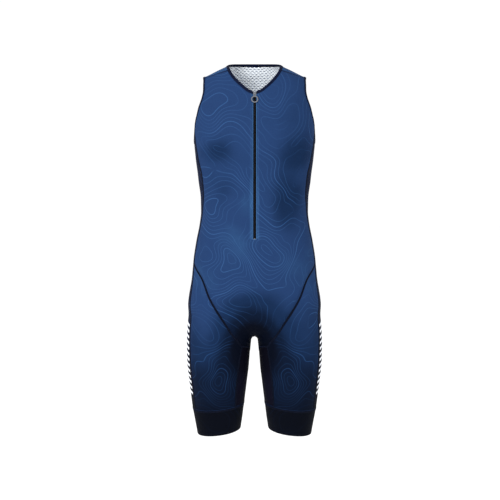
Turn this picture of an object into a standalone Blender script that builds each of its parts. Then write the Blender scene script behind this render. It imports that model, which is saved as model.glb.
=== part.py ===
"""Sleeveless one-piece cycling suit, filled out as it is worn but with nobody in it.

The frame is metres, +Z up, the front of the suit facing -Y and the wearer's left side at +X. The
origin is at neck-point height, between the shoulders that carry the suit. The cloth is a thin wall
over one smooth body form: a trunk and two legs, each a stack of rounded sections, run together at
the crotch. Every panel is a grid of points on that form, and neighbours share the points of their
seam, so the cut edges lie a constant gap apart.
"""

import math
from collections import namedtuple

import bmesh
import bpy
import numpy as np
from mathutils import Matrix, Vector

# Cloth and seams
WALL = 0.0016
SEAM_GAP = 0.0003

# How the surface is found
RAY_START = 0.020
RAY_STEPS = 60
RAY_STRIDE = 0.5
SLOPE_STEP = 0.0005
FACING_DEPTH = 0.080
CLOSE_POINTS = 240
TINY = 1e-12
FRAME_REACH = 0.0050
SIDEWAYS = np.array([1.0, 0.0, 0.0])
LENGTHWAYS = np.array([0.0, 1.0, 0.0])

# Heights of the main lines, below the neck point
ZIP_END_Z = -0.437
CUFF_SEAM_Z = -0.891
HEM_Z = -0.9585
HEM_TILT = 0.11

# Bindings and zip
NECK_BINDING = 0.0070
ARM_BINDING = 0.0060
BINDING_PROUD = 0.0004
BINDING_CROWN = 0.0005
ZIP_HALF_SLOT = 0.0045
TAPE_HALF_WIDTH = 0.0130
TAPE_WALL = 0.0007
TAPE_INSET = 0.0005
TAPE_SPREAD = 0.0018
CHAIN_HALF_WIDTH = 0.0023
CHAIN_PROUD = 0.0002
FRONT_MIDDLE_FOOT = 0.0070
BACK_MIDDLE_TOP = 0.0120
BACK_MIDDLE_FOOT = 0.0070

# Where the trunk's sections end in a rounded pelvis, and where each leg's top is capped
PELVIS_Z = -0.615
PELVIS_DROP = 0.085
LEG_TOP_Z = -0.635
LEG_CAP = 0.110
TRUNK_LEG_BLEND = 0.024
LEG_LEG_BLEND = 0.012

# Lines inside the body that the finding rays start from
CHEST_AXIS_Z = -0.135
PELVIS_AXIS_Z = -0.615
LEG_AXIS_X = 0.095
INNER_AXIS_TOP_Z = -0.785

# How far from the leg's middle line the cuff seam's side and inner corners lie
CUFF_OUTER_REACH = 0.058
CUFF_INNER_REACH = 0.047

# How much of the side strip bends to meet the armhole
ARM_FADE_SHARE = 0.20
ARM_FADE_ROWS = 4

# How fast the shape of the neck and shoulder edge fades out down the rows of the trunk panels
FRONT_FADE = 2
BACK_FADE = 5

# Segments along each seam and across each panel
ARM_FRONT_ROWS = 7
ARM_BACK_ROWS = 9
SIDE_ROWS = 12
HIP_ROWS = 11
CROTCH_ROWS = 2
LEG_ROWS = 10
STRIP_COLUMNS = 4
NECK_FRONT_COLUMNS = 6
NECK_BACK_COLUMNS = 9
SHOULDER_COLUMNS = 3
ZIP_ROWS = 18
CUFF_ROWS = 2

# Trunk: half width to the side, depth to the front and to the back, and how square the section is
TrunkSection = namedtuple("TrunkSection", "z half_width front back power")
TRUNK = (
    TrunkSection(-0.6150, 0.1645, 0.0960, 0.1260, 2.3),
    TrunkSection(-0.5550, 0.1630, 0.1000, 0.1220, 2.3),
    TrunkSection(-0.5050, 0.1590, 0.1010, 0.1120, 2.3),
    TrunkSection(-0.4550, 0.1512, 0.1000, 0.0980, 2.3),
    TrunkSection(-0.4050, 0.1415, 0.0980, 0.0890, 2.3),
    TrunkSection(-0.3750, 0.1385, 0.0980, 0.0880, 2.3),
    TrunkSection(-0.3450, 0.1387, 0.0995, 0.0920, 2.4),
    TrunkSection(-0.2950, 0.1448, 0.1060, 0.1020, 2.5),
    TrunkSection(-0.2350, 0.1518, 0.1140, 0.1130, 2.7),
    TrunkSection(-0.1950, 0.1547, 0.1160, 0.1170, 2.8),
    TrunkSection(-0.1550, 0.1552, 0.1120, 0.1160, 2.8),
    TrunkSection(-0.1150, 0.1520, 0.1020, 0.1100, 2.7),
    TrunkSection(-0.0750, 0.1435, 0.0870, 0.0980, 2.5),
    TrunkSection(-0.0500, 0.1385, 0.0740, 0.0860, 2.2),
    TrunkSection(-0.0340, 0.1310, 0.0670, 0.0765, 2.0),
    TrunkSection(-0.0297, 0.1208, 0.0650, 0.0740, 2.0),
    TrunkSection(-0.0162, 0.0940, 0.0610, 0.0680, 2.0),
    TrunkSection(-0.0027, 0.0672, 0.0570, 0.0620, 2.0),
    TrunkSection(0.0100, 0.0570, 0.0530, 0.0580, 2.0),
    TrunkSection(0.0300, 0.0520, 0.0480, 0.0520, 2.0),
)

# Legs: the middle of each section, its half width, and its depth to the front and to the back
LegSection = namedtuple("LegSection", "z middle_x half_width front back power")
LEGS = (
    LegSection(-0.9800, 0.0945, 0.0545, 0.0610, 0.0570, 2.1),
    LegSection(-0.9570, 0.0948, 0.0578, 0.0635, 0.0600, 2.1),
    LegSection(-0.9240, 0.0952, 0.0632, 0.0680, 0.0650, 2.1),
    LegSection(-0.8950, 0.0959, 0.0675, 0.0715, 0.0690, 2.1),
    LegSection(-0.8590, 0.0958, 0.0720, 0.0765, 0.0745, 2.1),
    LegSection(-0.8260, 0.0957, 0.0759, 0.0805, 0.0800, 2.1),
    LegSection(-0.7830, 0.0955, 0.0808, 0.0850, 0.0865, 2.1),
    LegSection(-0.7400, 0.0945, 0.0830, 0.0890, 0.0955, 2.1),
    LegSection(-0.6950, 0.0925, 0.0842, 0.0915, 0.1040, 2.1),
    LegSection(-0.6350, 0.0885, 0.0825, 0.0880, 0.1080, 2.1),
)

# Neck opening: height of its edge at each turn about the neck, from the front (-90) to the back (90)
NeckPoint = namedtuple("NeckPoint", "turn z")
NECK = (
    NeckPoint(-90, -0.0680),
    NeckPoint(-80, -0.0620),
    NeckPoint(-70, -0.0520),
    NeckPoint(-60, -0.0415),
    NeckPoint(-50, -0.0300),
    NeckPoint(-40, -0.0180),
    NeckPoint(-30, -0.0095),
    NeckPoint(-15, -0.0040),
    NeckPoint(0, -0.0020),
    NeckPoint(40, 0.0000),
    NeckPoint(90, 0.0000),
)
SHOULDER_SEAM_TURN = -34.0

# Armhole edge seen from the side. It starts at the front shoulder seam and goes down the front
ArmPoint = namedtuple("ArmPoint", "y z")
ARM_FRONT = (
    ArmPoint(-0.0170, -0.0390),
    ArmPoint(-0.0335, -0.0560),
    ArmPoint(-0.0450, -0.0740),
    ArmPoint(-0.0495, -0.0950),
    ArmPoint(-0.0490, -0.1200),
    ArmPoint(-0.0440, -0.1450),
    ArmPoint(-0.0370, -0.1680),
)
ARM_UNDER = (
    ArmPoint(-0.0240, -0.1870),
    ArmPoint(0.0000, -0.1970),
    ArmPoint(0.0260, -0.1890),
)
ARM_BACK = (
    ArmPoint(0.0410, -0.1680),
    ArmPoint(0.0490, -0.1380),
    ArmPoint(0.0530, -0.1050),
    ArmPoint(0.0480, -0.0750),
    ArmPoint(0.0345, -0.0540),
    ArmPoint(0.0170, -0.0395),
    ArmPoint(0.0000, -0.0345),
)

# Side strip: how far its two edges lie in front of and behind the middle of the side
StripSection = namedtuple("StripSection", "z front back")
HIP_Z = -0.510
STRIP = (
    StripSection(-0.8910, 0.0380, 0.0400),
    StripSection(-0.8150, 0.0440, 0.0450),
    StripSection(-0.7350, 0.0460, 0.0470),
    StripSection(-0.6550, 0.0420, 0.0430),
    StripSection(-0.5950, 0.0340, 0.0370),
    StripSection(-0.5100, 0.0260, 0.0310),
    StripSection(-0.4150, 0.0280, 0.0320),
    StripSection(-0.3720, 0.0340, 0.0360),
    StripSection(-0.3350, 0.0460, 0.0450),
    StripSection(-0.2950, 0.0560, 0.0540),
    StripSection(-0.2550, 0.0570, 0.0560),
    StripSection(-0.1950, 0.0550, 0.0550),
    StripSection(-0.1550, 0.0530, 0.0540),
)

# Seams between trunk and thighs, seen from the front and from the back, hip to crotch
HipPoint = namedtuple("HipPoint", "x z")
HIP_FRONT = (
    HipPoint(0.1355, -0.5430),
    HipPoint(0.1165, -0.5885),
    HipPoint(0.0950, -0.6260),
    HipPoint(0.0735, -0.6590),
    HipPoint(0.0585, -0.6835),
    HipPoint(0.0330, -0.7210),
)
HIP_BACK = (
    HipPoint(0.1370, -0.5550),
    HipPoint(0.1175, -0.6070),
    HipPoint(0.0970, -0.6470),
    HipPoint(0.0740, -0.6810),
    HipPoint(0.0540, -0.7060),
    HipPoint(0.0330, -0.7250),
)
CROTCH_EDGE_Z = -0.743

# Inner thigh panel: where its two edges run, seen from the front and from the back
InnerPoint = namedtuple("InnerPoint", "z x")
INNER_EDGE = (
    InnerPoint(-0.8910, 0.0500),
    InnerPoint(-0.8450, 0.0480),
    InnerPoint(-0.7990, 0.0440),
    InnerPoint(-0.7600, 0.0390),
    InnerPoint(-0.7210, 0.0330),
)

# Soft hollows of the cloth: place, front (-1) or back (1), reach along and across, tilt and depth
Hollow = namedtuple("Hollow", "x facing z along across tilt depth")
HOLLOWS = (
    Hollow(0.085, -1, -0.262, 0.060, 0.022, -10, 0.0030),
    Hollow(0.078, -1, -0.335, 0.020, 0.060, 8, 0.0030),
    Hollow(0.105, -1, -0.600, 0.090, 0.014, 58, 0.0020),
    Hollow(0.060, 1, -0.395, 0.060, 0.020, 6, 0.0030),
    Hollow(0.100, 1, -0.250, 0.055, 0.020, 25, 0.0030),
    Hollow(0.080, 1, -0.705, 0.060, 0.016, 10, 0.0030),
)

# Zip slider and its ring pull, in the slider's own directions: across, along and away from the chest
SLIDER_TOP = 0.0010
SLIDER_LENGTH = 0.0100
SLIDER_TOP_HALF_WIDTH = 0.0042
SLIDER_END_HALF_WIDTH = 0.0034
PLATE_LIFT = 0.0005
PLATE_WALL = 0.0012
BACK_PLATE_WALL = 0.0010
FLANGE_INNER = 0.0029
FLANGE_WALL = 0.0006
POST_HALF_WIDTH = 0.0007
POST_LENGTH = 0.0018
BRIDGE_HALF_LENGTH = 0.0031
BRIDGE_HALF_WIDTH = 0.0010
BRIDGE_WALL = 0.0009
BAR_RADIUS = 0.0006
BAR_CLEARANCE = 0.0004
BAR_ALONG = 0.0052
ARM_INNER = 0.0013
ARM_WIDTH = 0.0010
STEM_START = 0.0042
STEM_LENGTH = 0.0016
PULL_LEAN = 2.0
RING_OUTER = 0.0091
RING_INNER = 0.0062
RING_HALF_WALL = 0.0009
RING_SEGMENTS = 28
STOP_LENGTH = 0.0030
STOP_GAP = 0.0009
STOP_INSET = 0.0003
STOP_SUNK = 0.0015
STOP_PROUD = 0.0005
METAL_EDGE = 0.0003
METAL_OVERLAP = 0.0002
FLANGE_INSET = 0.0005
STEM_OVERLAP = 0.0005
RING_OVERLAP = 0.0010
RING_EDGE = 0.0004
BAR_SIDES = 16
SHARP_ANGLE = 40
MERGE = 1e-6

# How the smooth curves of the neck, armhole and cuff are sampled and settled
ARM_OVERLAP = 3
CUFF_PASSES = 3
NECK_TOP_SHARE = 3

# Finishes: colour as sRGB, roughness and metallic
Finish = namedtuple("Finish", "colour roughness metallic")
FINISHES = {
    "printed_cloth": Finish((0.17, 0.29, 0.48), 0.70, 0.0),
    "back_cloth": Finish((0.17, 0.29, 0.48), 0.75, 0.0),
    "dark_cloth": Finish((0.07, 0.08, 0.14), 0.75, 0.0),
    "cuff_cloth": Finish((0.05, 0.07, 0.15), 0.70, 0.0),
    "binding": Finish((0.05, 0.06, 0.15), 0.70, 0.0),
    "zip_tape": Finish((0.03, 0.03, 0.04), 0.80, 0.0),
    "zip_chain": Finish((0.04, 0.04, 0.05), 0.45, 0.0),
    "zip_metal": Finish((0.72, 0.73, 0.75), 0.30, 1.0),
}


def curve_of(rows, column):
    """The smooth curve of one table column against the table's first column, without overshoot."""
    knots = np.array([row[0] for row in rows], float)
    values = np.array([getattr(row, column) for row in rows], float)
    return smooth_curve(knots, values)


def smooth_curve(knots, values):
    """A function that runs smoothly through the values at the knots, which must rise."""
    widths = np.diff(knots)
    slopes = np.diff(values, axis=0) / widths.reshape(-1, *[1] * (values.ndim - 1))
    before, after = slopes[:-1], slopes[1:]
    same_way = before * after > 0
    middle = np.where(same_way, 2 * before * after / np.where(same_way, before + after, 1), 0)
    tangents = np.concatenate([slopes[:1], middle, slopes[-1:]])

    def at(x):
        x = np.clip(np.asarray(x, float), knots[0], knots[-1])
        i = np.clip(np.searchsorted(knots, x) - 1, 0, len(widths) - 1)
        shape = [-1] + [1] * (values.ndim - 1)
        width = widths[i].reshape(shape) if values.ndim > 1 else widths[i]
        t = (x - knots[i]).reshape(shape) / width if values.ndim > 1 else (x - knots[i]) / width
        start = values[i] * (1 + 2 * t) * (1 - t) ** 2 + width * tangents[i] * t * (1 - t) ** 2
        end = values[i + 1] * (3 - 2 * t) * t**2 + width * tangents[i + 1] * t**2 * (t - 1)
        return start + end

    return at


TRUNK_CURVES = [curve_of(TRUNK, name) for name in ("half_width", "front", "back", "power")]
LEG_CURVES = [curve_of(LEGS, name) for name in ("middle_x", "half_width", "front", "back", "power")]
STRIP_FRONT = curve_of(STRIP, "front")
STRIP_BACK = curve_of(STRIP, "back")
NECK_HEIGHT = curve_of(NECK, "z")
INNER_X = curve_of(INNER_EDGE, "x")


def blended(first, second, reach):
    """The lesser of two distances, rounded where they are within reach of each other."""
    share = np.clip(0.5 + 0.5 * (second - first) / reach, 0, 1)
    return second + (first - second) * share - reach * share * (1 - share)


def section_distance(x, y, past_end, half_width, front, back, power, drop):
    """Distance outside a rounded section, measured along the line from its middle."""
    depth = np.where(y < 0, front, back)
    flat = ((np.abs(x) / half_width) ** power + (np.abs(y) / depth) ** power) ** (1 / power)
    ratio = np.hypot(flat, past_end / drop)
    reach = np.sqrt(x**2 + y**2 + past_end**2)
    return reach * (1 - 1 / np.maximum(ratio, TINY))


def hollow_depth(points):
    """How far the soft hollows take the cloth in, at each point."""
    x, y, z = points.T
    depth = np.zeros(len(points))
    for h in HOLLOWS:
        for side in (1, -1):
            across, up = x - side * h.x, z - h.z
            cos, sin = math.cos(math.radians(h.tilt)), side * math.sin(math.radians(h.tilt))
            u = (across * cos + up * sin) / h.along
            v = (up * cos - across * sin) / h.across
            facing = np.clip(0.5 + h.facing * y / FACING_DEPTH, 0, 1)
            depth += h.depth * facing * np.exp(-(u**2) - v**2)
    return depth


def body_distance(points):
    """Roughly how far points lie outside the body form; negative inside."""
    x, y, z = points.T
    width, front, back, power = (c(np.maximum(z, PELVIS_Z)) for c in TRUNK_CURVES)
    below = np.minimum(z - PELVIS_Z, 0)
    trunk = section_distance(x, y, below, width, front, back, power, PELVIS_DROP)
    middle, width, front, back, power = (c(np.minimum(z, LEG_TOP_Z)) for c in LEG_CURVES)
    above = np.maximum(z - LEG_TOP_Z, 0)
    left = section_distance(x - middle, y, above, width, front, back, power, LEG_CAP)
    right = section_distance(x + middle, y, above, width, front, back, power, LEG_CAP)
    body = blended(trunk, blended(left, right, LEG_LEG_BLEND), TRUNK_LEG_BLEND)
    return body + hollow_depth(points)


def unit(vectors):
    """The same vectors, one long."""
    return vectors / np.maximum(np.linalg.norm(vectors, axis=-1, keepdims=True), TINY)


def on_body(origins, aims):
    """Where the rays from the origins towards the aims leave the body."""
    shape = aims.shape
    origins = np.broadcast_to(origins, shape).reshape(-1, 3)
    ways = unit(aims.reshape(-1, 3) - origins)
    travel = np.full(len(ways), RAY_START)
    for _ in range(RAY_STEPS):
        travel -= RAY_STRIDE * body_distance(origins + travel[:, None] * ways)
    return (origins + travel[:, None] * ways).reshape(shape)


def outward(points):
    """The way out of the body at each point."""
    flat = points.reshape(-1, 3)
    steps = np.eye(3) * SLOPE_STEP
    slope = [body_distance(flat + s) - body_distance(flat - s) for s in steps]
    return unit(np.stack(slope, axis=1)).reshape(points.shape)


def trunk_axis(points):
    """The trunk's middle line beside each point."""
    middle = np.zeros_like(points)
    middle[..., 2] = np.clip(points[..., 2], PELVIS_AXIS_Z, CHEST_AXIS_Z)
    return middle


def thigh_axis(points):
    """A line down the middle of the leg, carried up through the hip."""
    middle = np.zeros_like(points)
    middle[..., 0] = LEG_AXIS_X
    middle[..., 2] = points[..., 2]
    return middle


def inner_axis(points):
    """The leg's middle line, stopping below the crotch."""
    middle = thigh_axis(points)
    middle[..., 2] = np.minimum(points[..., 2], INNER_AXIS_TOP_Z)
    return middle


def side_axis(points):
    """Points inside the body, level with each point of the side."""
    middle = points.copy()
    middle[..., 0] = LEG_AXIS_X
    middle[..., 1] *= 0.5
    return middle


def travelled(line):
    """Distance along a line at each of its points."""
    return np.concatenate([[0], np.cumsum(np.linalg.norm(np.diff(line, axis=0), axis=1))])


def even(points, segments):
    """Points at even steps along a line of close points."""
    travel = travelled(points)
    marks = np.linspace(0, travel[-1], segments + 1)
    return np.stack([np.interp(marks, travel, column) for column in points.T], axis=1)


def run_through(points):
    """A smooth line of close points through a few points."""
    points = np.asarray(points, float)
    travel = travelled(points)
    return smooth_curve(travel, points)(np.linspace(0, travel[-1], CLOSE_POINTS))


def edge_on_body(keys, segments, axis):
    """An edge with even steps, run smoothly through its key points and laid on the body."""
    line = even(run_through(keys), segments)
    return on_body(axis(line), line)


def round_hole(points, width):
    """The ring that lies a width outside a closed edge along the body."""
    along = unit(np.roll(points, -1, axis=0) - np.roll(points, 1, axis=0))
    across = unit(np.cross(outward(points), along))
    away = np.sign(np.einsum("ij,ij->i", across, points - points.mean(axis=0)))
    moved = points + width * away[:, None] * across
    return on_body(trunk_axis(moved), moved)


def rows_between(first, first_axis, last, last_axis, shares):
    """Rows on the body from one edge to another, turning evenly about the line between their axes."""
    radius_a = np.linalg.norm(first - first_axis, axis=1)
    radius_b = np.linalg.norm(last - last_axis, axis=1)
    way_a = (first - first_axis) / radius_a[:, None]
    way_b = (last - last_axis) / radius_b[:, None]
    angle = np.arccos(np.clip(np.einsum("ij,ij->i", way_a, way_b), -1, 1))[:, None, None]
    t = shares[None, :, None]
    way = (np.sin((1 - t) * angle) * way_a[:, None] + np.sin(t * angle) * way_b[:, None]) / np.sin(angle)
    axis = first_axis[:, None] * (1 - t) + last_axis[:, None] * t
    radius = radius_a[:, None, None] * (1 - t) + radius_b[:, None, None] * t
    return axis, axis + way * radius


def filled(first, first_axis, last, last_axis, top, bottom, fade=2):
    """A grid on the body with four given edges; the top row's shape fades out down the rows."""
    axis, grid = rows_between(first, first_axis, last, last_axis, np.linspace(0, 1, len(top)))
    down = np.linspace(0, 1, len(first))[:, None, None]
    from_top, from_bottom = top - grid[0], bottom - grid[-1]
    grid = grid + (1 - down) ** fade * from_top + down**2 * from_bottom
    grid = on_body(axis, grid)
    grid[0], grid[-1], grid[:, 0], grid[:, -1] = top, bottom, first, last
    return grid


def mirrored(points):
    """The same points on the other side of the body."""
    return points * np.array([-1, 1, 1])


def whole_width(half):
    """A half grid, its first column in the middle of the body, with its mirror image before it."""
    return np.concatenate([mirrored(half[:, :0:-1]), half], axis=1)


def neck_edge():
    """The neck opening's edge from the front middle to the back middle, as close points."""
    turns = np.radians(np.linspace(-90, 90, CLOSE_POINTS))
    heights = NECK_HEIGHT(np.degrees(turns))
    aims = np.stack([np.cos(turns), np.sin(turns), heights], axis=1)
    level = np.stack([np.zeros_like(turns), np.zeros_like(turns), heights], axis=1)
    return np.degrees(turns), on_body(level, aims)


def split_at_shoulder(turns, points):
    """Even steps from the front middle to the shoulder seam, and on from there to the back middle."""
    cut = int(np.argmin(np.abs(turns - SHOULDER_SEAM_TURN)))
    return even(points[: cut + 1], NECK_FRONT_COLUMNS), even(points[cut:], NECK_BACK_COLUMNS)


def arm_edge():
    """The armhole's edge in three stretches: down the front, under the arm, and up the back."""
    ring = [*ARM_FRONT, *ARM_UNDER, *ARM_BACK]
    keys = np.array([(LEG_AXIS_X, p.y, p.z) for p in ring])
    pad = ARM_OVERLAP
    line = np.concatenate([keys[-pad:], keys, keys[: pad + 1]])
    travel = travelled(line)
    at = smooth_curve(travel, line)
    first, second = pad + len(ARM_FRONT) - 1, pad + len(ARM_FRONT) + len(ARM_UNDER)
    cuts = (travel[pad], travel[first], travel[second], travel[pad + len(keys)])
    counts = (ARM_FRONT_ROWS, STRIP_COLUMNS, ARM_BACK_ROWS)
    stretches = []
    for start, end, count in zip(cuts[:-1], cuts[1:], counts):
        aims = even(at(np.linspace(start, end, CLOSE_POINTS)), count)
        stretches.append(on_body(aims, aims + SIDEWAYS))
    return stretches


def strip_edges(heights, front_side):
    """One edge of the side strip at the given heights."""
    reach = -STRIP_FRONT(heights) if front_side else STRIP_BACK(heights)
    start = np.stack([np.full_like(heights, LEG_AXIS_X), reach, heights], axis=1)
    return on_body(start, start + SIDEWAYS)


def hip_seam(start, keys, way):
    """The seam from the hip to the crotch: the key points found from the front or the back."""
    seen = np.array([(p.x, 0.0, p.z) for p in keys])
    found = on_body(seen, seen + way * LENGTHWAYS)
    return edge_on_body(np.concatenate([start[None], found]), HIP_ROWS, thigh_axis)


def hem_drop(points, level):
    """Heights of a ring round the leg that hangs lower on its outer side."""
    return level - HEM_TILT * (points[..., 0] - LEG_AXIS_X)


def inner_edge(corner, way):
    """One edge of the inner thigh panel, from its crotch corner to the cuff seam."""
    heights = np.linspace(corner[2], CUFF_SEAM_Z + HEM_TILT * CUFF_INNER_REACH, CLOSE_POINTS)
    seen = np.stack([INNER_X(heights), np.zeros_like(heights), heights], axis=1)
    line = on_body(seen, seen + way * LENGTHWAYS)
    line[0] = corner
    return even(line, LEG_ROWS)


def ring_part(start, end, segments):
    """Part of the cuff seam round the leg, level apart from its tilt."""
    a, b = (math.atan2(p[1], p[0] - LEG_AXIS_X) for p in (start, end))
    if b < a:
        b += 2 * math.pi
    turns = np.linspace(a, b, CLOSE_POINTS)
    aims = np.stack([LEG_AXIS_X + np.cos(turns), np.sin(turns), np.zeros_like(turns)], axis=1)
    share = np.linspace(0, 1, len(turns))
    aims[:, 2] = start[2] + (end[2] - start[2]) * share
    for _ in range(CUFF_PASSES):
        axis = np.stack([np.full_like(turns, LEG_AXIS_X), np.zeros_like(turns), aims[:, 2]], axis=1)
        found = on_body(axis, aims)
        target = hem_drop(found, CUFF_SEAM_Z)
        fit = (1 - share) * (start[2] - target[0]) + share * (end[2] - target[-1])
        aims[:, 2] = target + fit
    return even(found, segments)


def make_body_lines():
    """Every seam and edge on the wearer's left half, as rows of shared points."""
    lines = {}
    turns, neck = neck_edge()
    lines["neck_close"] = neck
    hole_front, hole_back = split_at_shoulder(turns, neck)
    seam_front, seam_back = split_at_shoulder(turns, lower_edge(neck))
    lines["neck_hole"] = np.concatenate([hole_front, hole_back[1:]])
    lines["neck_seam"] = np.concatenate([seam_front, seam_back[1:]])
    lines["neck_front"], lines["neck_back"] = seam_front, seam_back[::-1]

    stretches = arm_edge()
    hole = np.concatenate([stretches[0], stretches[1][1:], stretches[2][1:-1]])
    seam = round_hole(hole, ARM_BINDING)
    front_end, back_start = ARM_FRONT_ROWS, ARM_FRONT_ROWS + STRIP_COLUMNS
    lines["arm_hole"], lines["arm_seam"] = hole, seam
    lines["arm_front"] = seam[: front_end + 1]
    lines["arm_under"] = seam[front_end : back_start + 1]
    lines["arm_back"] = np.concatenate([seam[back_start:], seam[:1]])[::-1]

    for name, start, front_side in (("front", seam[front_end], True), ("back", seam[back_start], False)):
        upper = strip_edges(np.linspace(start[2], HIP_Z, CLOSE_POINTS), front_side)
        fade = np.clip(1 - np.linspace(0, 1, CLOSE_POINTS) / ARM_FADE_SHARE, 0, 1)[:, None] ** 2
        upper = upper + fade * (start - upper[0])
        upper = on_body(side_axis(upper), upper)
        upper[0] = start
        lines["side_" + name] = even(upper, SIDE_ROWS)
        end = CUFF_SEAM_Z - HEM_TILT * CUFF_OUTER_REACH
        lower = strip_edges(np.linspace(HIP_Z, end, CLOSE_POINTS), front_side)
        lower[0] = lines["side_" + name][-1]
        lines["thigh_" + name] = even(lower, LEG_ROWS)

    for name, keys, way in (("front", HIP_FRONT, -1.0), ("back", HIP_BACK, 1.0)):
        lines["hip_" + name] = hip_seam(lines["side_" + name][-1], keys, way)
        corner = lines["hip_" + name][-1]
        lines["inner_" + name] = inner_edge(corner, way)
        low = np.array([[0.0, 0.0, CROTCH_EDGE_Z]])
        start = np.array([[LEG_AXIS_X, 0.0, CROTCH_EDGE_Z]])
        middle = on_body(start, low)[0]
        half_way = (corner + middle) / 2
        lines["crotch_" + name] = edge_on_body([corner, half_way, middle], CROTCH_ROWS, inner_axis)
        lines["crotch_" + name][0], lines["crotch_" + name][-1] = corner, middle
    return lines


def lower_edge(neck):
    """The seam under the neck binding, its ends in the middle plane."""
    along = np.gradient(neck, axis=0)
    along[[0, -1], 1:] = 0
    across = unit(np.cross(outward(neck), unit(along)))
    down = np.where(across[:, 2] > 0, -1, 1)
    moved = neck + NECK_BINDING * down[:, None] * across
    found = on_body(trunk_axis(moved), moved)
    found[[0, -1], 0] = 0
    return found


def down_middle(way, start_z, end_z):
    """Close points down the middle of the front or back between two heights."""
    level = np.zeros((CLOSE_POINTS, 3))
    level[:, 2] = np.linspace(start_z, end_z, CLOSE_POINTS)
    return on_body(level, level + way * LENGTHWAYS)


def round_pelvis(way):
    """Close points from the pelvis's height round to the crotch's lowest point in the middle."""
    turns = np.radians(np.linspace(0, 90, CLOSE_POINTS))[1:]
    pivot = np.array([0, 0, PELVIS_AXIS_Z])
    ways = np.stack([np.zeros_like(turns), way * np.cos(turns), -np.sin(turns)], axis=1)
    return on_body(pivot, pivot + ways)


def middle_line(top, way, rows, mark_rows=0, mark_z=None):
    """Even steps down the middle of a trunk panel, with one row at a marked height if there is one."""
    if mark_rows == 0:
        line = np.concatenate([down_middle(way, top[2], PELVIS_AXIS_Z), round_pelvis(way)])
        line[0] = top
        return even(line, rows)
    upper = down_middle(way, top[2], mark_z)
    upper[0] = top
    lower = np.concatenate([down_middle(way, mark_z, PELVIS_AXIS_Z), round_pelvis(way)])
    return np.concatenate([even(upper, mark_rows), even(lower, rows - mark_rows)[1:]])


def beside_middle(middle, widths):
    """The line beside the middle line, at a width for each row."""
    moved = middle + widths[:, None] * SIDEWAYS
    return on_body(trunk_axis(moved), moved)


def trunk_half(lines, name, middle, second, top, fade):
    """The half grid of the front or back panel, from the body's middle out to the seams."""
    parts = [lines["arm_" + name], lines["side_" + name], lines["hip_" + name], lines["crotch_" + name]]
    outer = np.concatenate([parts[0], *[p[1:] for p in parts[1:]]])
    bottom_axis, bottom = rows_between(
        second[-1:], trunk_axis(second[-1:]), outer[-1:], trunk_axis(outer[-1:]), np.linspace(0, 1, len(top))
    )
    bottom = on_body(bottom_axis, bottom)[0]
    grid = filled(second, trunk_axis(second), outer, trunk_axis(outer), top, bottom, fade)
    return np.concatenate([middle[:, None], grid], axis=1)


def front_half(lines):
    """The front panel's half grid. Its first column is the middle and its second the zip slot's edge."""
    rows = ARM_FRONT_ROWS + SIDE_ROWS + HIP_ROWS + CROTCH_ROWS
    top = lines["neck_front"][0]
    middle = middle_line(top, -1.0, rows, ZIP_ROWS, ZIP_END_Z)
    past = np.clip((np.arange(rows + 1) - ZIP_ROWS) / (rows - ZIP_ROWS), 0, 1)
    second = beside_middle(middle, ZIP_HALF_SLOT + past * (FRONT_MIDDLE_FOOT - ZIP_HALF_SLOT))
    shoulder = shoulder_seam(lines)
    neck = even(np.concatenate([second[:1], lines["neck_front"][1:]]), NECK_FRONT_COLUMNS)
    neck[1:] = lines["neck_front"][1:]
    top_row = np.concatenate([neck, shoulder[1:]])
    return trunk_half(lines, "front", middle, second, top_row, FRONT_FADE)


def back_half(lines):
    """The back panel's half grid, which reaches over the shoulder to the seam in front."""
    rows = ARM_BACK_ROWS + SIDE_ROWS + HIP_ROWS + CROTCH_ROWS
    top = lines["neck_back"][0]
    middle = middle_line(top, 1.0, rows)
    second = beside_middle(middle, np.linspace(BACK_MIDDLE_TOP, BACK_MIDDLE_FOOT, rows + 1))
    second[0] = lines["neck_back"][1]
    top_row = np.concatenate([lines["neck_back"][1:], shoulder_seam(lines)[1:]])
    return trunk_half(lines, "back", middle, second, top_row, BACK_FADE)


def shoulder_seam(lines):
    """The seam along the front of the shoulder, from the neck to the armhole."""
    start, end = lines["neck_front"][-1], lines["arm_front"][0]
    straight = start + (end - start) * np.linspace(0, 1, SHOULDER_COLUMNS + 1)[:, None]
    seam = on_body(trunk_axis(straight), straight)
    seam[0], seam[-1] = start, end
    return seam


def strip_grid(lines):
    """The side strip from the armhole to the cuff seam, with the cuff seam's part at its foot."""
    front = np.concatenate([lines["side_front"], lines["thigh_front"][1:]])
    back = np.concatenate([lines["side_back"], lines["thigh_back"][1:]])
    shares = np.linspace(0, 1, STRIP_COLUMNS + 1)[None, :, None]
    grid = front[:, None] * (1 - shares) + back[:, None] * shares
    fade = np.clip(1 - np.arange(len(front)) / ARM_FADE_ROWS, 0, 1)[:, None, None] ** 2
    grid = grid + fade * (lines["arm_under"] - grid[0])
    grid = on_body(side_axis(grid), grid)
    grid[0], grid[-1] = lines["arm_under"], lines["cuff_side"]
    grid[:, 0], grid[:, -1] = front, back
    return grid


def thigh_grid(lines, name):
    """A thigh panel: hip seam on top, cuff seam below, side strip outside, inner panel inside."""
    outer, inner = lines["thigh_" + name], lines["inner_" + name]
    return filled(
        outer, thigh_axis(outer), inner, thigh_axis(inner), lines["hip_" + name], lines["cuff_" + name]
    )


def inner_grid(lines):
    """The inner thigh panel, from the crotch edge down to the cuff seam."""
    front, back = lines["inner_front"], lines["inner_back"]
    top = np.concatenate([lines["crotch_front"], lines["crotch_back"][-2::-1]])
    return filled(front, inner_axis(front), back, inner_axis(back), top, lines["cuff_inner"])


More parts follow.
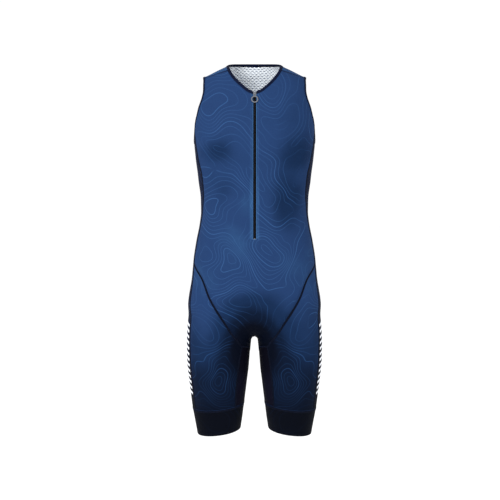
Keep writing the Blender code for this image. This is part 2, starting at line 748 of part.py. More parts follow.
def cuff_grid(lines):
    """The leg's hem band: the ring of cuff seam points, carried down to the hem."""
    stretches = [lines["cuff_side"], lines["cuff_back"], lines["cuff_inner"][::-1]]
    ring = np.concatenate([*(line[:-1] for line in stretches), lines["cuff_front"][::-1]])
    rows = []
    for share in np.linspace(0, 1, CUFF_ROWS + 1):
        level = ring.copy()
        level[:, 2] = ring[:, 2] * (1 - share) + hem_drop(ring, HEM_Z) * share
        rows.append(level if share == 0 else on_body(thigh_axis(level), level))
    return np.stack(rows)


def shell(name, grid, finish, out=0.0, inward=WALL, gap=SEAM_GAP / 2, skip=(), closed=False, normals=None):
    """A closed wall over a grid of points, its cut edges drawn in by half the seam gap."""
    rows, columns = grid.shape[:2]
    ids = np.arange(rows * columns).reshape(rows, columns)
    if closed:
        ids[:, -1] = ids[:, 0]
    points = grid.reshape(-1, 3).copy()
    normals = (outward(grid) if normals is None else normals).reshape(-1, 3)
    cells = [(i, j) for i in range(rows - 1) for j in range(columns - 1) if (i, j) not in skip]
    faces = [(ids[i, j], ids[i + 1, j], ids[i + 1, j + 1], ids[i, j + 1]) for i, j in cells]
    a, b, c, d = (points[[f[k] for f in faces]] for k in range(4))
    facing = np.einsum("ij,ij->i", np.cross(c - a, d - b), normals[[f[0] for f in faces]])
    if facing.sum() < 0:
        faces = [f[::-1] for f in faces]
    edges = {(f[k], f[(k + 1) % 4]) for f in faces for k in range(4)}
    rim = sorted((p, q) for p, q in edges if (q, p) not in edges)
    inwards = {}
    for p, q in rim:
        along = unit(points[q] - points[p])
        for v in (p, q):
            inwards.setdefault(v, []).append(unit(np.cross(normals[v], along)))
    for v, ways in inwards.items():
        first, last = ways[0], ways[-1]
        points[v] = points[v] + gap * (first + last) / (1 + float(first @ last))
    used = sorted({v for f in faces for v in f})
    place = {v: k for k, v in enumerate(used)}
    lift = np.broadcast_to(out, (rows, columns)).reshape(-1)[used]
    sink = np.broadcast_to(inward, (rows, columns)).reshape(-1)[used]
    outer = points[used] + lift[:, None] * normals[used]
    inner = points[used] - sink[:, None] * normals[used]
    count = len(used)
    skin = [tuple(place[v] for v in f) for f in faces]
    lining = [tuple(v + count for v in f[::-1]) for f in skin]
    sides = []
    for p, q in rim:
        a, b, c, d = place[q], place[p], place[p] + count, place[q] + count
        lower_first = tuple(points[p][[2, 1]]) < tuple(points[q][[2, 1]])
        sides += [(a, b, c), (a, c, d)] if lower_first else [(a, b, d), (b, c, d)]
    return mesh_object(name, np.concatenate([outer, inner]), skin + lining + sides, finish)


def material(finish_name):
    """The material of one finish, made once."""
    found = bpy.data.materials.get(finish_name)
    if found:
        return found
    finish = FINISHES[finish_name]
    made = bpy.data.materials.new(finish_name)
    made.use_nodes = True
    shader = made.node_tree.nodes["Principled BSDF"]
    linear = [((c + 0.055) / 1.055) ** 2.4 if c > 0.04045 else c / 12.92 for c in finish.colour]
    shader.inputs["Base Color"].default_value = (*linear, 1)
    shader.inputs["Roughness"].default_value = finish.roughness
    shader.inputs["Metallic"].default_value = finish.metallic
    return made


def mesh_object(name, points, faces, finish):
    """A named object from points and faces, shaded smooth apart from its cut edges."""
    mesh = bpy.data.meshes.new(name)
    mesh.from_pydata([tuple(map(float, p)) for p in points], [], [tuple(map(int, f)) for f in faces])
    mesh.materials.append(material(finish))
    mesh.shade_smooth()
    mesh.set_sharp_from_angle(angle=math.radians(SHARP_ANGLE))
    made = bpy.data.objects.new(name, mesh)
    bpy.context.scene.collection.objects.link(made)
    return made


def make_panels(lines):
    """The cloth panels, and the front's half grid for what is sewn to it."""
    half = front_half(lines)
    middle = half.shape[1] - 1
    slot = {(i, j) for i in range(ZIP_ROWS) for j in (middle - 1, middle)}
    shell("front", whole_width(half), "printed_cloth", skip=slot)
    shell("back", whole_width(back_half(lines)), "back_cloth")
    strip, inner, cuff = strip_grid(lines), inner_grid(lines), cuff_grid(lines)
    for side, place in (("left", lambda g: g), ("right", mirrored)):
        shell("side_" + side, place(strip), "dark_cloth")
        for name in ("front", "back"):
            shell(f"thigh_{name}_{side}", place(thigh_grid(lines, name)), "printed_cloth")
        shell("inner_thigh_" + side, place(inner), "dark_cloth")
        shell("cuff_" + side, place(cuff), "cuff_cloth", closed=True)
    return half


def band(first, last):
    """Three rows of points for a binding: its two edges and the middle between them."""
    middle = (first + last) / 2
    return np.stack([first, on_body(trunk_axis(middle), middle), last])


def make_bindings(lines, front):
    """The bound edges of the neck and of both armholes, a little proud of the panels."""
    lift = np.array([0.0, BINDING_CROWN, 0.0])[:, None] + BINDING_PROUD
    hole, seam = lines["neck_hole"].copy(), lines["neck_seam"].copy()
    seam[0] = front[0, 1]
    hole[0, 0] = ZIP_HALF_SLOT
    hole[:1] = on_body(trunk_axis(hole[:1]), hole[:1])
    half = band(hole, seam)
    whole = np.concatenate([half, mirrored(half[:, -2::-1])], axis=1)
    shell("neck_binding", whole, "binding", out=lift)
    hole, seam = (np.concatenate([lines[n], lines[n][:1]]) for n in ("arm_hole", "arm_seam"))
    ring = band(hole, seam)
    for side, place in (("left", lambda g: g), ("right", mirrored)):
        shell("armhole_binding_" + side, place(ring), "binding", out=lift, closed=True)


def zip_rows(lines, front):
    """Points and normals behind the front opening, from the neck edge down to the foot of the slot."""
    columns = (0.0, ZIP_HALF_SLOT, TAPE_HALF_WIDTH)
    close = lines["neck_close"]
    near = close[: len(close) // NECK_TOP_SHARE]
    top = np.array([[np.interp(x, near[:, 0], column) for column in near.T] for x in columns])
    top[:, 2] -= TAPE_INSET
    top = on_body(trunk_axis(top), top)
    rows = [top]
    for points in front[: ZIP_ROWS + 1]:
        rows.append(np.array([[np.interp(x, points[:, 0], column) for column in points.T] for x in columns]))
    points = np.stack(rows)
    return points, outward(points)


def cut_rows(points, normals, start, end):
    """The rows between two distances down the zip, with a row at each of the two."""
    travel = travelled(points[:, 0])
    inside = travel[(travel > start) & (travel < end)]
    marks = np.concatenate([[start], inside, [end]])
    flat = [v.reshape(len(travel), -1) for v in (points, normals)]
    cut = [np.stack([np.interp(marks, travel, column) for column in v.T], axis=1) for v in flat]
    shape = (len(marks), *points.shape[1:])
    return cut[0].reshape(shape), unit(cut[1].reshape(shape))


def make_zip(points, normals):
    """The two tapes under the front panel, and the closed chain between them."""
    tape = points.copy()
    tape[:, 0, 0] = SEAM_GAP / 2
    tape[0, 0, 0] = TAPE_SPREAD
    sunk = WALL + SEAM_GAP
    for side, flip in (("left", 1), ("right", -1)):
        way = np.array([flip, 1, 1])
        cloth = {"out": -sunk, "inward": sunk + TAPE_WALL, "gap": 0.0, "normals": normals * way}
        shell("zip_tape_" + side, tape * way, "zip_tape", **cloth)
    foot = travelled(points[:, 0])[-1] - STOP_LENGTH - STOP_GAP
    chain, facing = cut_rows(points[:, :2], normals[:, :2], SLIDER_TOP + BAR_ALONG, foot)
    share = CHAIN_HALF_WIDTH / ZIP_HALF_SLOT
    edge = chain[:, 0] * (1 - share) + chain[:, 1] * share
    ways = facing[:, 0] * (1 - share) + facing[:, 1] * share
    grid, both = (np.stack([mirrored(v), v], axis=1) for v in (edge, ways))
    shell("zip_chain", grid, "zip_chain", CHAIN_PROUD, gap=0.0, normals=both)


def along_middle(zip_line, distance):
    """The point at a distance down the zip from its top."""
    travel = travelled(zip_line)
    return np.array([np.interp(distance, travel, column) for column in zip_line.T])


def chest_frame(zip_line, distance):
    """A place on the zip with its own directions: across the body, up the zip, and outwards."""
    here = along_middle(zip_line, distance)
    above = along_middle(zip_line, distance - FRAME_REACH)
    below = along_middle(zip_line, distance + FRAME_REACH)
    up = Vector(above - below).normalized()
    across = Vector((1, 0, 0))
    out = across.cross(up)
    if out.y > 0:
        out.negate()
    turned = Matrix((across, up, out)).transposed()
    return turned.to_4x4(), Vector(here)


def box(bm, low, high):
    """A box between two corners."""
    made = bmesh.ops.create_cube(bm, size=1)["verts"]
    size = [h - l for l, h in zip(low, high)]
    middle = [(h + l) / 2 for l, h in zip(low, high)]
    bmesh.ops.scale(bm, vec=size, verts=made)
    bmesh.ops.translate(bm, vec=middle, verts=made)
    return made


def loose_object(name, build, finish):
    """An object from a function that fills a bmesh."""
    bm = bmesh.new()
    build(bm)
    mesh = bpy.data.meshes.new(name)
    bm.to_mesh(mesh)
    bm.free()
    mesh.materials.append(material(finish))
    made = bpy.data.objects.new(name, mesh)
    bpy.context.scene.collection.objects.link(made)
    return made


def block(name, low, high):
    """A metal box between two corners."""
    low, high = ([f(pair) for pair in zip(low, high)] for f in (min, max))
    return loose_object(name, lambda bm: box(bm, low, high), "zip_metal")


def softened(thing):
    """The same object with its sharp edges taken off."""
    bevel = thing.modifiers.new("soft edges", "BEVEL")
    bevel.width = METAL_EDGE
    bevel.segments = 1
    return thing


def joined(base, *others):
    """The base with the others joined on by Booleans; the others stay as hidden tools."""
    for tool in others:
        tool.hide_render = True
        tool.display_type = "WIRE"
        tool.parent = base
        union = base.modifiers.new("join", "BOOLEAN")
        union.operation = "UNION"
        union.object = tool
    return base


def placed(thing, turned, here):
    """Sets an object in a frame of the chest."""
    thing.matrix_world = Matrix.Translation(here) @ turned
    return thing


def slider_plate(name, low, high):
    """One of the slider's two plates, wider at the top, where the zip's two sides part."""

    def build(bm):
        for v in box(bm, (-1, -SLIDER_LENGTH, low), (1, 0, high)):
            half = SLIDER_TOP_HALF_WIDTH if v.co.y > -SLIDER_LENGTH / 2 else SLIDER_END_HALF_WIDTH
            v.co.x = math.copysign(half, v.co.x)

    return loose_object(name, build, "zip_metal")


def make_slider(zip_line):
    """The slider at the top of the zip: two plates, a post, side flanges and the pull's bridge."""
    under, top = PLATE_LIFT, PLATE_LIFT + PLATE_WALL
    back_top = -(WALL + SEAM_GAP + TAPE_WALL + SEAM_GAP)
    base = softened(slider_plate("zip_slider", under, top))
    back = slider_plate("slider_back_plate", back_top - BACK_PLATE_WALL, back_top)
    post_low = (-POST_HALF_WIDTH, -POST_LENGTH, back_top - METAL_OVERLAP)
    tools = [back, block("slider_post", post_low, (POST_HALF_WIDTH, -METAL_EDGE, under + METAL_OVERLAP))]
    roof_low = top + 2 * (BAR_RADIUS + BAR_CLEARANCE)
    ends = [-BAR_ALONG + sign * BRIDGE_HALF_LENGTH for sign in (-1, 1)]
    roof = (BRIDGE_HALF_WIDTH, ends[1], roof_low + BRIDGE_WALL)
    tools.append(block("bridge_roof", (-BRIDGE_HALF_WIDTH, ends[0], roof_low), roof))
    for sign, end in zip((-1, 1), ends):
        near = (sign * FLANGE_INNER, -SLIDER_LENGTH + FLANGE_INSET, SEAM_GAP - WALL)
        far = (sign * (FLANGE_INNER + FLANGE_WALL), -FLANGE_INSET, under + METAL_OVERLAP)
        tools.append(block("slider_flange", near, far))
        foot = (-BRIDGE_HALF_WIDTH, end, top - METAL_OVERLAP)
        head = (BRIDGE_HALF_WIDTH, end - sign * BRIDGE_WALL, roof_low + METAL_OVERLAP)
        tools.append(block("bridge_leg", foot, head))
    joined(base, *tools)
    turned, here = chest_frame(zip_line, SLIDER_TOP + SLIDER_LENGTH / 2)
    return placed(base, turned, here + turned.to_3x3() @ Vector((0, SLIDER_LENGTH / 2, 0)))


def pull_ring(bm):
    """The pull's ring, turned from a rounded profile."""
    middle, half = (RING_OUTER + RING_INNER) / 2, (RING_OUTER - RING_INNER) / 2
    quarter = ((half, RING_HALF_WALL - RING_EDGE), (half - RING_EDGE, RING_HALF_WALL))
    upper = [*quarter, *((-x, z) for x, z in reversed(quarter))]
    outline = [*upper, *((x, -z) for x, z in reversed(upper))]
    verts = [bm.verts.new((middle + x, 0, z)) for x, z in outline]
    edges = [bm.edges.new((verts[i - 1], verts[i])) for i in range(len(verts))]
    turn = {"cent": (0, 0, 0), "axis": (0, 0, 1), "angle": math.tau, "use_merge": True}
    bmesh.ops.spin(bm, geom=verts + edges, steps=RING_SEGMENTS, **turn)
    bmesh.ops.remove_doubles(bm, verts=bm.verts, dist=MERGE)
    bmesh.ops.recalc_face_normals(bm, faces=bm.faces)
    drop = STEM_START + STEM_LENGTH + RING_OUTER - RING_OVERLAP
    bmesh.ops.translate(bm, vec=(0, -drop, 0), verts=bm.verts)


def pull_bar(bm):
    """The round bar that the pull swings about."""
    turn = Matrix.Rotation(math.radians(90), 4, "Y")
    size = {"radius1": BAR_RADIUS, "radius2": BAR_RADIUS, "depth": 2 * (ARM_INNER + ARM_WIDTH)}
    bmesh.ops.create_cone(bm, cap_ends=True, segments=BAR_SIDES, matrix=turn, **size)


def make_pull(slider):
    """The ring pull, its origin on the bar it swings about."""
    base = loose_object("zip_pull", pull_ring, "zip_metal")
    reach = ARM_INNER + ARM_WIDTH
    stem_foot = (-reach, -STEM_START - STEM_LENGTH, -BAR_RADIUS)
    tools = [block("pull_stem", stem_foot, (reach, -STEM_START, BAR_RADIUS))]
    for sign in (1, -1):
        foot = (sign * ARM_INNER, -STEM_START - STEM_OVERLAP, -BAR_RADIUS)
        tools.append(block("pull_arm", foot, (sign * reach, 0, BAR_RADIUS)))
    tools.append(loose_object("pull_bar", pull_bar, "zip_metal"))
    joined(base, *tools)
    lift = PLATE_LIFT + PLATE_WALL + BAR_RADIUS + BAR_CLEARANCE
    lean = Matrix.Rotation(math.radians(PULL_LEAN), 4, "X")
    base.matrix_world = slider.matrix_world @ Matrix.Translation((0, -BAR_ALONG, lift)) @ lean
    return base


def make_stop(zip_line):
    """The metal stop at the foot of the zip."""
    turned, here = chest_frame(zip_line, travelled(zip_line)[-1] - STOP_LENGTH / 2 - SEAM_GAP)
    reach, half = CHAIN_HALF_WIDTH + STOP_INSET, STOP_LENGTH / 2 - STOP_INSET
    stop = softened(block("zip_stop", (-reach, -half, -STOP_SUNK), (reach, half, STOP_PROUD)))
    return placed(stop, turned, here)


def make_cuff_lines(lines):
    """The cuff seam's four stretches, between the feet of the long seams."""
    names = ("thigh_front", "inner_front", "inner_back", "thigh_back")
    outer_front, inner_front, inner_back, outer_back = (lines[name][-1] for name in names)
    lines["cuff_front"] = ring_part(inner_front, outer_front, HIP_ROWS)[::-1]
    lines["cuff_side"] = ring_part(outer_front, outer_back, STRIP_COLUMNS)
    lines["cuff_back"] = ring_part(outer_back, inner_back, HIP_ROWS)
    lines["cuff_inner"] = ring_part(inner_back, inner_front, 2 * CROTCH_ROWS)[::-1]
    pairs = (
        ("cuff_front", outer_front, inner_front),
        ("cuff_side", outer_front, outer_back),
        ("cuff_back", outer_back, inner_back),
        ("cuff_inner", inner_front, inner_back),
    )
    for name, start, end in pairs:
        lines[name][0], lines[name][-1] = start, end


def main():
    for thing in list(bpy.data.objects):
        bpy.data.objects.remove(thing, do_unlink=True)
    lines = make_body_lines()
    make_cuff_lines(lines)
    front = make_panels(lines)
    make_bindings(lines, front)
    points, normals = zip_rows(lines, front)
    make_zip(points, normals)
    slider = make_slider(points[:, 0])
    make_pull(slider)
    make_stop(points[:, 0])


main()
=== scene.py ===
"""A sleeveless cycling suit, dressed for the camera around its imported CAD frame."""
# %% [markdown]
# # A sleeveless cycling suit
#
# The real suit is cut from printed stretch knit, joined with flat seams, bound at the neck and the
# armholes and closed with a coil zip. The frame gives simple solids for every piece. Each cloth piece is
# made again here as a thin shell on the same form, fine enough for soft creases, and the threads, the
# teeth of the zip and the print are added to it.

# %% Load the frame
import math
from collections import namedtuple

import bmesh
import bpy
import numpy as np
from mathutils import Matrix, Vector


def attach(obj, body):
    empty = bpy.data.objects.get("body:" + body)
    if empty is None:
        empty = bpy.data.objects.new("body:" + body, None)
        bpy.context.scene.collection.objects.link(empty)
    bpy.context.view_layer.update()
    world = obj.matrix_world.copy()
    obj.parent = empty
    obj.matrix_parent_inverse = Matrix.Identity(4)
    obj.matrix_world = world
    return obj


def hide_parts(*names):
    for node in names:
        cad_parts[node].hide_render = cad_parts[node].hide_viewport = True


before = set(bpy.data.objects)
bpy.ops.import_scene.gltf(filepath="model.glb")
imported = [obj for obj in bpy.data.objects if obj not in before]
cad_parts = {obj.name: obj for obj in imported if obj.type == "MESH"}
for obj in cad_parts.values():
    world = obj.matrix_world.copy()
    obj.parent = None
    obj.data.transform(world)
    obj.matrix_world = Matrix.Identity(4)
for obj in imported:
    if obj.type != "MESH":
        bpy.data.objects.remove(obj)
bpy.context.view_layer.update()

# %% [markdown]
# ## The sizes of the suit
#
# A garment like this is drafted from a few heights and widths. The tables below are those of the frame:
# a section for each height of the trunk and the legs, and a few points along each seam. Because both
# models read the same tables, each fine piece lies on its solid. Lengths are in metres.

# %% Sizes of cloth, seams and zip
SEAM_GAP = 0.0002
CLOTH_WALL = 0.0009
RAY_START = 0.020
RAY_STEPS = 45
RAY_STRIDE = 0.5
SLOPE_STEP = 0.0005
FACING_DEPTH = 0.080
CLOSE_POINTS = 600
TINY = 1e-12
SIDEWAYS = np.array([1.0, 0.0, 0.0])
LENGTHWAYS = np.array([0.0, 1.0, 0.0])
ZIP_END_Z = -0.437
CUFF_SEAM_Z = -0.891
HEM_Z = -0.9585
HEM_TILT = 0.11
NECK_BINDING = 0.0070
ARM_BINDING = 0.0060
ZIP_HALF_SLOT = 0.0045
PELVIS_Z = -0.615
PELVIS_DROP = 0.085
LEG_TOP_Z = -0.635
LEG_CAP = 0.110
TRUNK_LEG_BLEND = 0.024
LEG_LEG_BLEND = 0.012
CHEST_AXIS_Z = -0.135
PELVIS_AXIS_Z = -0.615
LEG_AXIS_X = 0.095
INNER_AXIS_TOP_Z = -0.785
CUFF_OUTER_REACH = 0.058
CUFF_INNER_REACH = 0.047
ARM_FADE_SHARE = 0.20
ARM_OVERLAP = 3
CUFF_PASSES = 3
FRONT_FADE = 2
BACK_FADE = 5

print("cloth wall", CLOTH_WALL, "m")

# %% Steps along each seam, five for each of the frame's
FINE = 5
ARM_FADE_ROWS = 4 * FINE
ARM_FRONT_ROWS = 7 * FINE
ARM_BACK_ROWS = 9 * FINE
SIDE_ROWS = 12 * FINE
HIP_ROWS = 11 * FINE
CROTCH_ROWS = 2 * FINE
LEG_ROWS = 10 * FINE
STRIP_COLUMNS = 4 * FINE
NECK_FRONT_COLUMNS = 6 * FINE
NECK_BACK_COLUMNS = 9 * FINE
SHOULDER_COLUMNS = 3 * FINE
ZIP_ROWS = 18 * FINE
CUFF_ROWS = 3 * FINE
print("rows down the side:", SIDE_ROWS, "and down the leg:", LEG_ROWS)


# %% The form's sections and seams
def rows_of(kind, *rows):
    """A table as named rows."""
    return [kind(*row) for row in rows]


# Trunk: half width to the side, depth to the front and to the back, and how square the section is
TrunkSection = namedtuple("TrunkSection", "z half_width front back power")
TRUNK = rows_of(
    TrunkSection,
    (-0.6150, 0.1645, 0.0960, 0.1260, 2.3),
    (-0.5550, 0.1630, 0.1000, 0.1220, 2.3),
    (-0.5050, 0.1590, 0.1010, 0.1120, 2.3),
    (-0.4550, 0.1512, 0.1000, 0.0980, 2.3),
    (-0.4050, 0.1415, 0.0980, 0.0890, 2.3),
    (-0.3750, 0.1385, 0.0980, 0.0880, 2.3),
    (-0.3450, 0.1387, 0.0995, 0.0920, 2.4),
    (-0.2950, 0.1448, 0.1060, 0.1020, 2.5),
    (-0.2350, 0.1518, 0.1140, 0.1130, 2.7),
    (-0.1950, 0.1547, 0.1160, 0.1170, 2.8),
    (-0.1550, 0.1552, 0.1120, 0.1160, 2.8),
    (-0.1150, 0.1520, 0.1020, 0.1100, 2.7),
    (-0.0750, 0.1435, 0.0870, 0.0980, 2.5),
    (-0.0500, 0.1385, 0.0740, 0.0860, 2.2),
    (-0.0340, 0.1310, 0.0670, 0.0765, 2.0),
    (-0.0297, 0.1208, 0.0650, 0.0740, 2.0),
    (-0.0162, 0.0940, 0.0610, 0.0680, 2.0),
    (-0.0027, 0.0672, 0.0570, 0.0620, 2.0),
    (0.0100, 0.0570, 0.0530, 0.0580, 2.0),
    (0.0300, 0.0520, 0.0480, 0.0520, 2.0),
)

# Legs: the middle of each section, its half width, and its depth to the front and to the back
LegSection = namedtuple("LegSection", "z middle_x half_width front back power")
LEGS = rows_of(
    LegSection,
    (-0.9800, 0.0945, 0.0545, 0.0610, 0.0570, 2.1),
    (-0.9570, 0.0948, 0.0578, 0.0635, 0.0600, 2.1),
    (-0.9240, 0.0952, 0.0632, 0.0680, 0.0650, 2.1),
    (-0.8950, 0.0959, 0.0675, 0.0715, 0.0690, 2.1),
    (-0.8590, 0.0958, 0.0720, 0.0765, 0.0745, 2.1),
    (-0.8260, 0.0957, 0.0759, 0.0805, 0.0800, 2.1),
    (-0.7830, 0.0955, 0.0808, 0.0850, 0.0865, 2.1),
    (-0.7400, 0.0945, 0.0830, 0.0890, 0.0955, 2.1),
    (-0.6950, 0.0925, 0.0842, 0.0915, 0.1040, 2.1),
    (-0.6350, 0.0885, 0.0825, 0.0880, 0.1080, 2.1),
)

# Neck opening: height of its edge at each turn about the neck, from the front (-90) to the back (90)
NeckPoint = namedtuple("NeckPoint", "turn z")
NECK = rows_of(
    NeckPoint,
    (-90, -0.0680), (-80, -0.0620), (-70, -0.0520), (-60, -0.0415), (-50, -0.0300), (-40, -0.0180),
    (-30, -0.0095), (-15, -0.0040), (0, -0.0020), (40, 0.0000), (90, 0.0000),
)
SHOULDER_SEAM_TURN = -34.0

# Armhole edge seen from the side. It starts at the front shoulder seam and goes down the front
ArmPoint = namedtuple("ArmPoint", "y z")
ARM_FRONT = rows_of(
    ArmPoint,
    (-0.0170, -0.0390), (-0.0335, -0.0560), (-0.0450, -0.0740), (-0.0495, -0.0950), (-0.0490, -0.1200),
    (-0.0440, -0.1450), (-0.0370, -0.1680),
)
ARM_UNDER = rows_of(
    ArmPoint,
    (-0.0240, -0.1870), (0.0000, -0.1970), (0.0260, -0.1890),
)
ARM_BACK = rows_of(
    ArmPoint,
    (0.0410, -0.1680), (0.0490, -0.1380), (0.0530, -0.1050), (0.0480, -0.0750), (0.0345, -0.0540),
    (0.0170, -0.0395), (0.0000, -0.0345),
)

# Side strip: how far its two edges lie in front of and behind the middle of the side
StripSection = namedtuple("StripSection", "z front back")
HIP_Z = -0.510
STRIP = rows_of(
    StripSection,
    (-0.8910, 0.0380, 0.0400),
    (-0.8150, 0.0440, 0.0450),
    (-0.7350, 0.0460, 0.0470),
    (-0.6550, 0.0420, 0.0430),
    (-0.5950, 0.0340, 0.0370),
    (-0.5100, 0.0260, 0.0310),
    (-0.4150, 0.0280, 0.0320),
    (-0.3720, 0.0340, 0.0360),
    (-0.3350, 0.0460, 0.0450),
    (-0.2950, 0.0560, 0.0540),
    (-0.2550, 0.0570, 0.0560),
    (-0.1950, 0.0550, 0.0550),
    (-0.1550, 0.0530, 0.0540),
)

# Seams between trunk and thighs, seen from the front and from the back, hip to crotch
HipPoint = namedtuple("HipPoint", "x z")
HIP_FRONT = rows_of(
    HipPoint,
    (0.1355, -0.5430), (0.1165, -0.5885), (0.0950, -0.6260), (0.0735, -0.6590), (0.0585, -0.6835),
    (0.0330, -0.7210),
)
HIP_BACK = rows_of(
    HipPoint,
    (0.1370, -0.5550), (0.1175, -0.6070), (0.0970, -0.6470), (0.0740, -0.6810), (0.0540, -0.7060),
    (0.0330, -0.7250),
)
CROTCH_EDGE_Z = -0.743

# Inner thigh panel: where its two edges run, seen from the front and from the back
InnerPoint = namedtuple("InnerPoint", "z x")
INNER_EDGE = rows_of(
    InnerPoint,
    (-0.8910, 0.0500), (-0.8450, 0.0480), (-0.7990, 0.0440), (-0.7600, 0.0390), (-0.7210, 0.0330),
)

# Soft hollows of the cloth: place, front (-1) or back (1), reach along and across, tilt and depth
Hollow = namedtuple("Hollow", "x facing z along across tilt depth")
HOLLOWS = rows_of(
    Hollow,
    (0.085, -1, -0.262, 0.060, 0.022, -10, 0.0030),
    (0.078, -1, -0.335, 0.020, 0.060, 8, 0.0030),
    (0.105, -1, -0.600, 0.090, 0.014, 58, 0.0020),
    (0.060, 1, -0.395, 0.060, 0.020, 6, 0.0030),
    (0.100, 1, -0.250, 0.055, 0.020, 25, 0.0030),
    (0.080, 1, -0.705, 0.060, 0.016, 10, 0.0030),
)

print(len(TRUNK), "trunk sections,", len(LEGS), "leg sections,", len(HOLLOWS), "hollows")

# %% [markdown]
# ## The form
#
# The body is one rounded trunk and two rounded legs, blended where they meet. A point of cloth is found by
# sending a ray out from a middle line until it leaves that form. This gives every piece the same
# surface, however its seams run.

# %% Smooth curves through the tables
def curve_of(rows, column):
    """The smooth curve of one table column against the table's first column, without overshoot."""
    knots = np.array([row[0] for row in rows], float)
    values = np.array([getattr(row, column) for row in rows], float)
    return smooth_curve(knots, values)


def smooth_curve(knots, values):
    """A function that runs smoothly through the values at the knots, which must rise."""
    widths = np.diff(knots)
    slopes = np.diff(values, axis=0) / widths.reshape(-1, *[1] * (values.ndim - 1))
    before, after = slopes[:-1], slopes[1:]
    same_way = before * after > 0
    middle = np.where(same_way, 2 * before * after / np.where(same_way, before + after, 1), 0)
    tangents = np.concatenate([slopes[:1], middle, slopes[-1:]])

    def at(x):
        x = np.clip(np.asarray(x, float), knots[0], knots[-1])
        i = np.clip(np.searchsorted(knots, x) - 1, 0, len(widths) - 1)
        shape = [-1] + [1] * (values.ndim - 1)
        width = widths[i].reshape(shape) if values.ndim > 1 else widths[i]
        t = (x - knots[i]).reshape(shape) / width if values.ndim > 1 else (x - knots[i]) / width
        start = values[i] * (1 + 2 * t) * (1 - t) ** 2 + width * tangents[i] * t * (1 - t) ** 2
        end = values[i + 1] * (3 - 2 * t) * t**2 + width * tangents[i + 1] * t**2 * (t - 1)
        return start + end

    return at


TRUNK_CURVES = [curve_of(TRUNK, name) for name in ("half_width", "front", "back", "power")]
LEG_CURVES = [curve_of(LEGS, name) for name in ("middle_x", "half_width", "front", "back", "power")]
STRIP_FRONT = curve_of(STRIP, "front")
STRIP_BACK = curve_of(STRIP, "back")
NECK_HEIGHT = curve_of(NECK, "z")
INNER_X = curve_of(INNER_EDGE, "x")
print("half width at the waist:", round(float(TRUNK_CURVES[0](-0.375)), 4), "m")


# %% Distance from the form
def blended(first, second, reach):
    """The lesser of two distances, rounded where they are within reach of each other."""
    share = np.clip(0.5 + 0.5 * (second - first) / reach, 0, 1)
    return second + (first - second) * share - reach * share * (1 - share)


def section_distance(x, y, past_end, half_width, front, back, power, drop):
    """Distance outside a rounded section, measured along the line from its middle."""
    depth = np.where(y < 0, front, back)
    flat = ((np.abs(x) / half_width) ** power + (np.abs(y) / depth) ** power) ** (1 / power)
    ratio = np.hypot(flat, past_end / drop)
    reach = np.sqrt(x**2 + y**2 + past_end**2)
    return reach * (1 - 1 / np.maximum(ratio, TINY))


def hollow_depth(points):
    """How far the soft hollows take the cloth in, at each point."""
    x, y, z = points.T
    depth = np.zeros(len(points))
    for h in HOLLOWS:
        for side in (1, -1):
            across, up = x - side * h.x, z - h.z
            cos, sin = math.cos(math.radians(h.tilt)), side * math.sin(math.radians(h.tilt))
            u = (across * cos + up * sin) / h.along
            v = (up * cos - across * sin) / h.across
            facing = np.clip(0.5 + h.facing * y / FACING_DEPTH, 0, 1)
            depth += h.depth * facing * np.exp(-(u**2) - v**2)
    return depth


def body_distance(points):
    """Roughly how far points lie outside the body form; negative inside."""
    x, y, z = points.T
    width, front, back, power = (c(np.maximum(z, PELVIS_Z)) for c in TRUNK_CURVES)
    below = np.minimum(z - PELVIS_Z, 0)
    trunk = section_distance(x, y, below, width, front, back, power, PELVIS_DROP)
    middle, width, front, back, power = (c(np.minimum(z, LEG_TOP_Z)) for c in LEG_CURVES)
    above = np.maximum(z - LEG_TOP_Z, 0)
    left = section_distance(x - middle, y, above, width, front, back, power, LEG_CAP)
    right = section_distance(x + middle, y, above, width, front, back, power, LEG_CAP)
    body = blended(trunk, blended(left, right, LEG_LEG_BLEND), TRUNK_LEG_BLEND)
    return body + hollow_depth(points)


def unit(vectors):
    """The same vectors, one long."""
    return vectors / np.maximum(np.linalg.norm(vectors, axis=-1, keepdims=True), TINY)


print("outside the chest:", np.round(body_distance(np.array([[0.0, -0.13, -0.2]])), 4), "m at 0.13 m forward")


# %% Points on the form, and the middle lines that rays start from
def on_body(origins, aims):
    """Where the rays from the origins towards the aims leave the body."""
    shape = aims.shape
    origins = np.broadcast_to(origins, shape).reshape(-1, 3)
    ways = unit(aims.reshape(-1, 3) - origins)
    travel = np.full(len(ways), RAY_START)
    for _ in range(RAY_STEPS):
        travel -= RAY_STRIDE * body_distance(origins + travel[:, None] * ways)
    return (origins + travel[:, None] * ways).reshape(shape)


def outward(points):
    """The way out of the body at each point."""
    flat = points.reshape(-1, 3)
    steps = np.eye(3) * SLOPE_STEP
    slope = [body_distance(flat + s) - body_distance(flat - s) for s in steps]
    return unit(np.stack(slope, axis=1)).reshape(points.shape)


def points_at(x, y, z):
    """Points from their x, y and z, each of them an array or one number."""
    return np.stack(np.broadcast_arrays(x, y, z), axis=-1)


def trunk_axis(points):
    """The trunk's middle line beside each point."""
    return points_at(0.0, 0.0, np.clip(points[..., 2], PELVIS_AXIS_Z, CHEST_AXIS_Z))


def thigh_axis(points):
    """A line down the middle of the leg, carried up through the hip."""
    return points_at(LEG_AXIS_X, 0.0, points[..., 2])


def inner_axis(points):
    """The leg's middle line, stopping below the crotch."""
    return points_at(LEG_AXIS_X, 0.0, np.minimum(points[..., 2], INNER_AXIS_TOP_Z))


def side_axis(points):
    """Points inside the body, level with each point of the side."""
    return points_at(LEG_AXIS_X, points[..., 1] * 0.5, points[..., 2])


print("front of the chest:", np.round(on_body(np.array([[0, 0, -0.2]]), np.array([[0, -1, -0.2]])), 4))


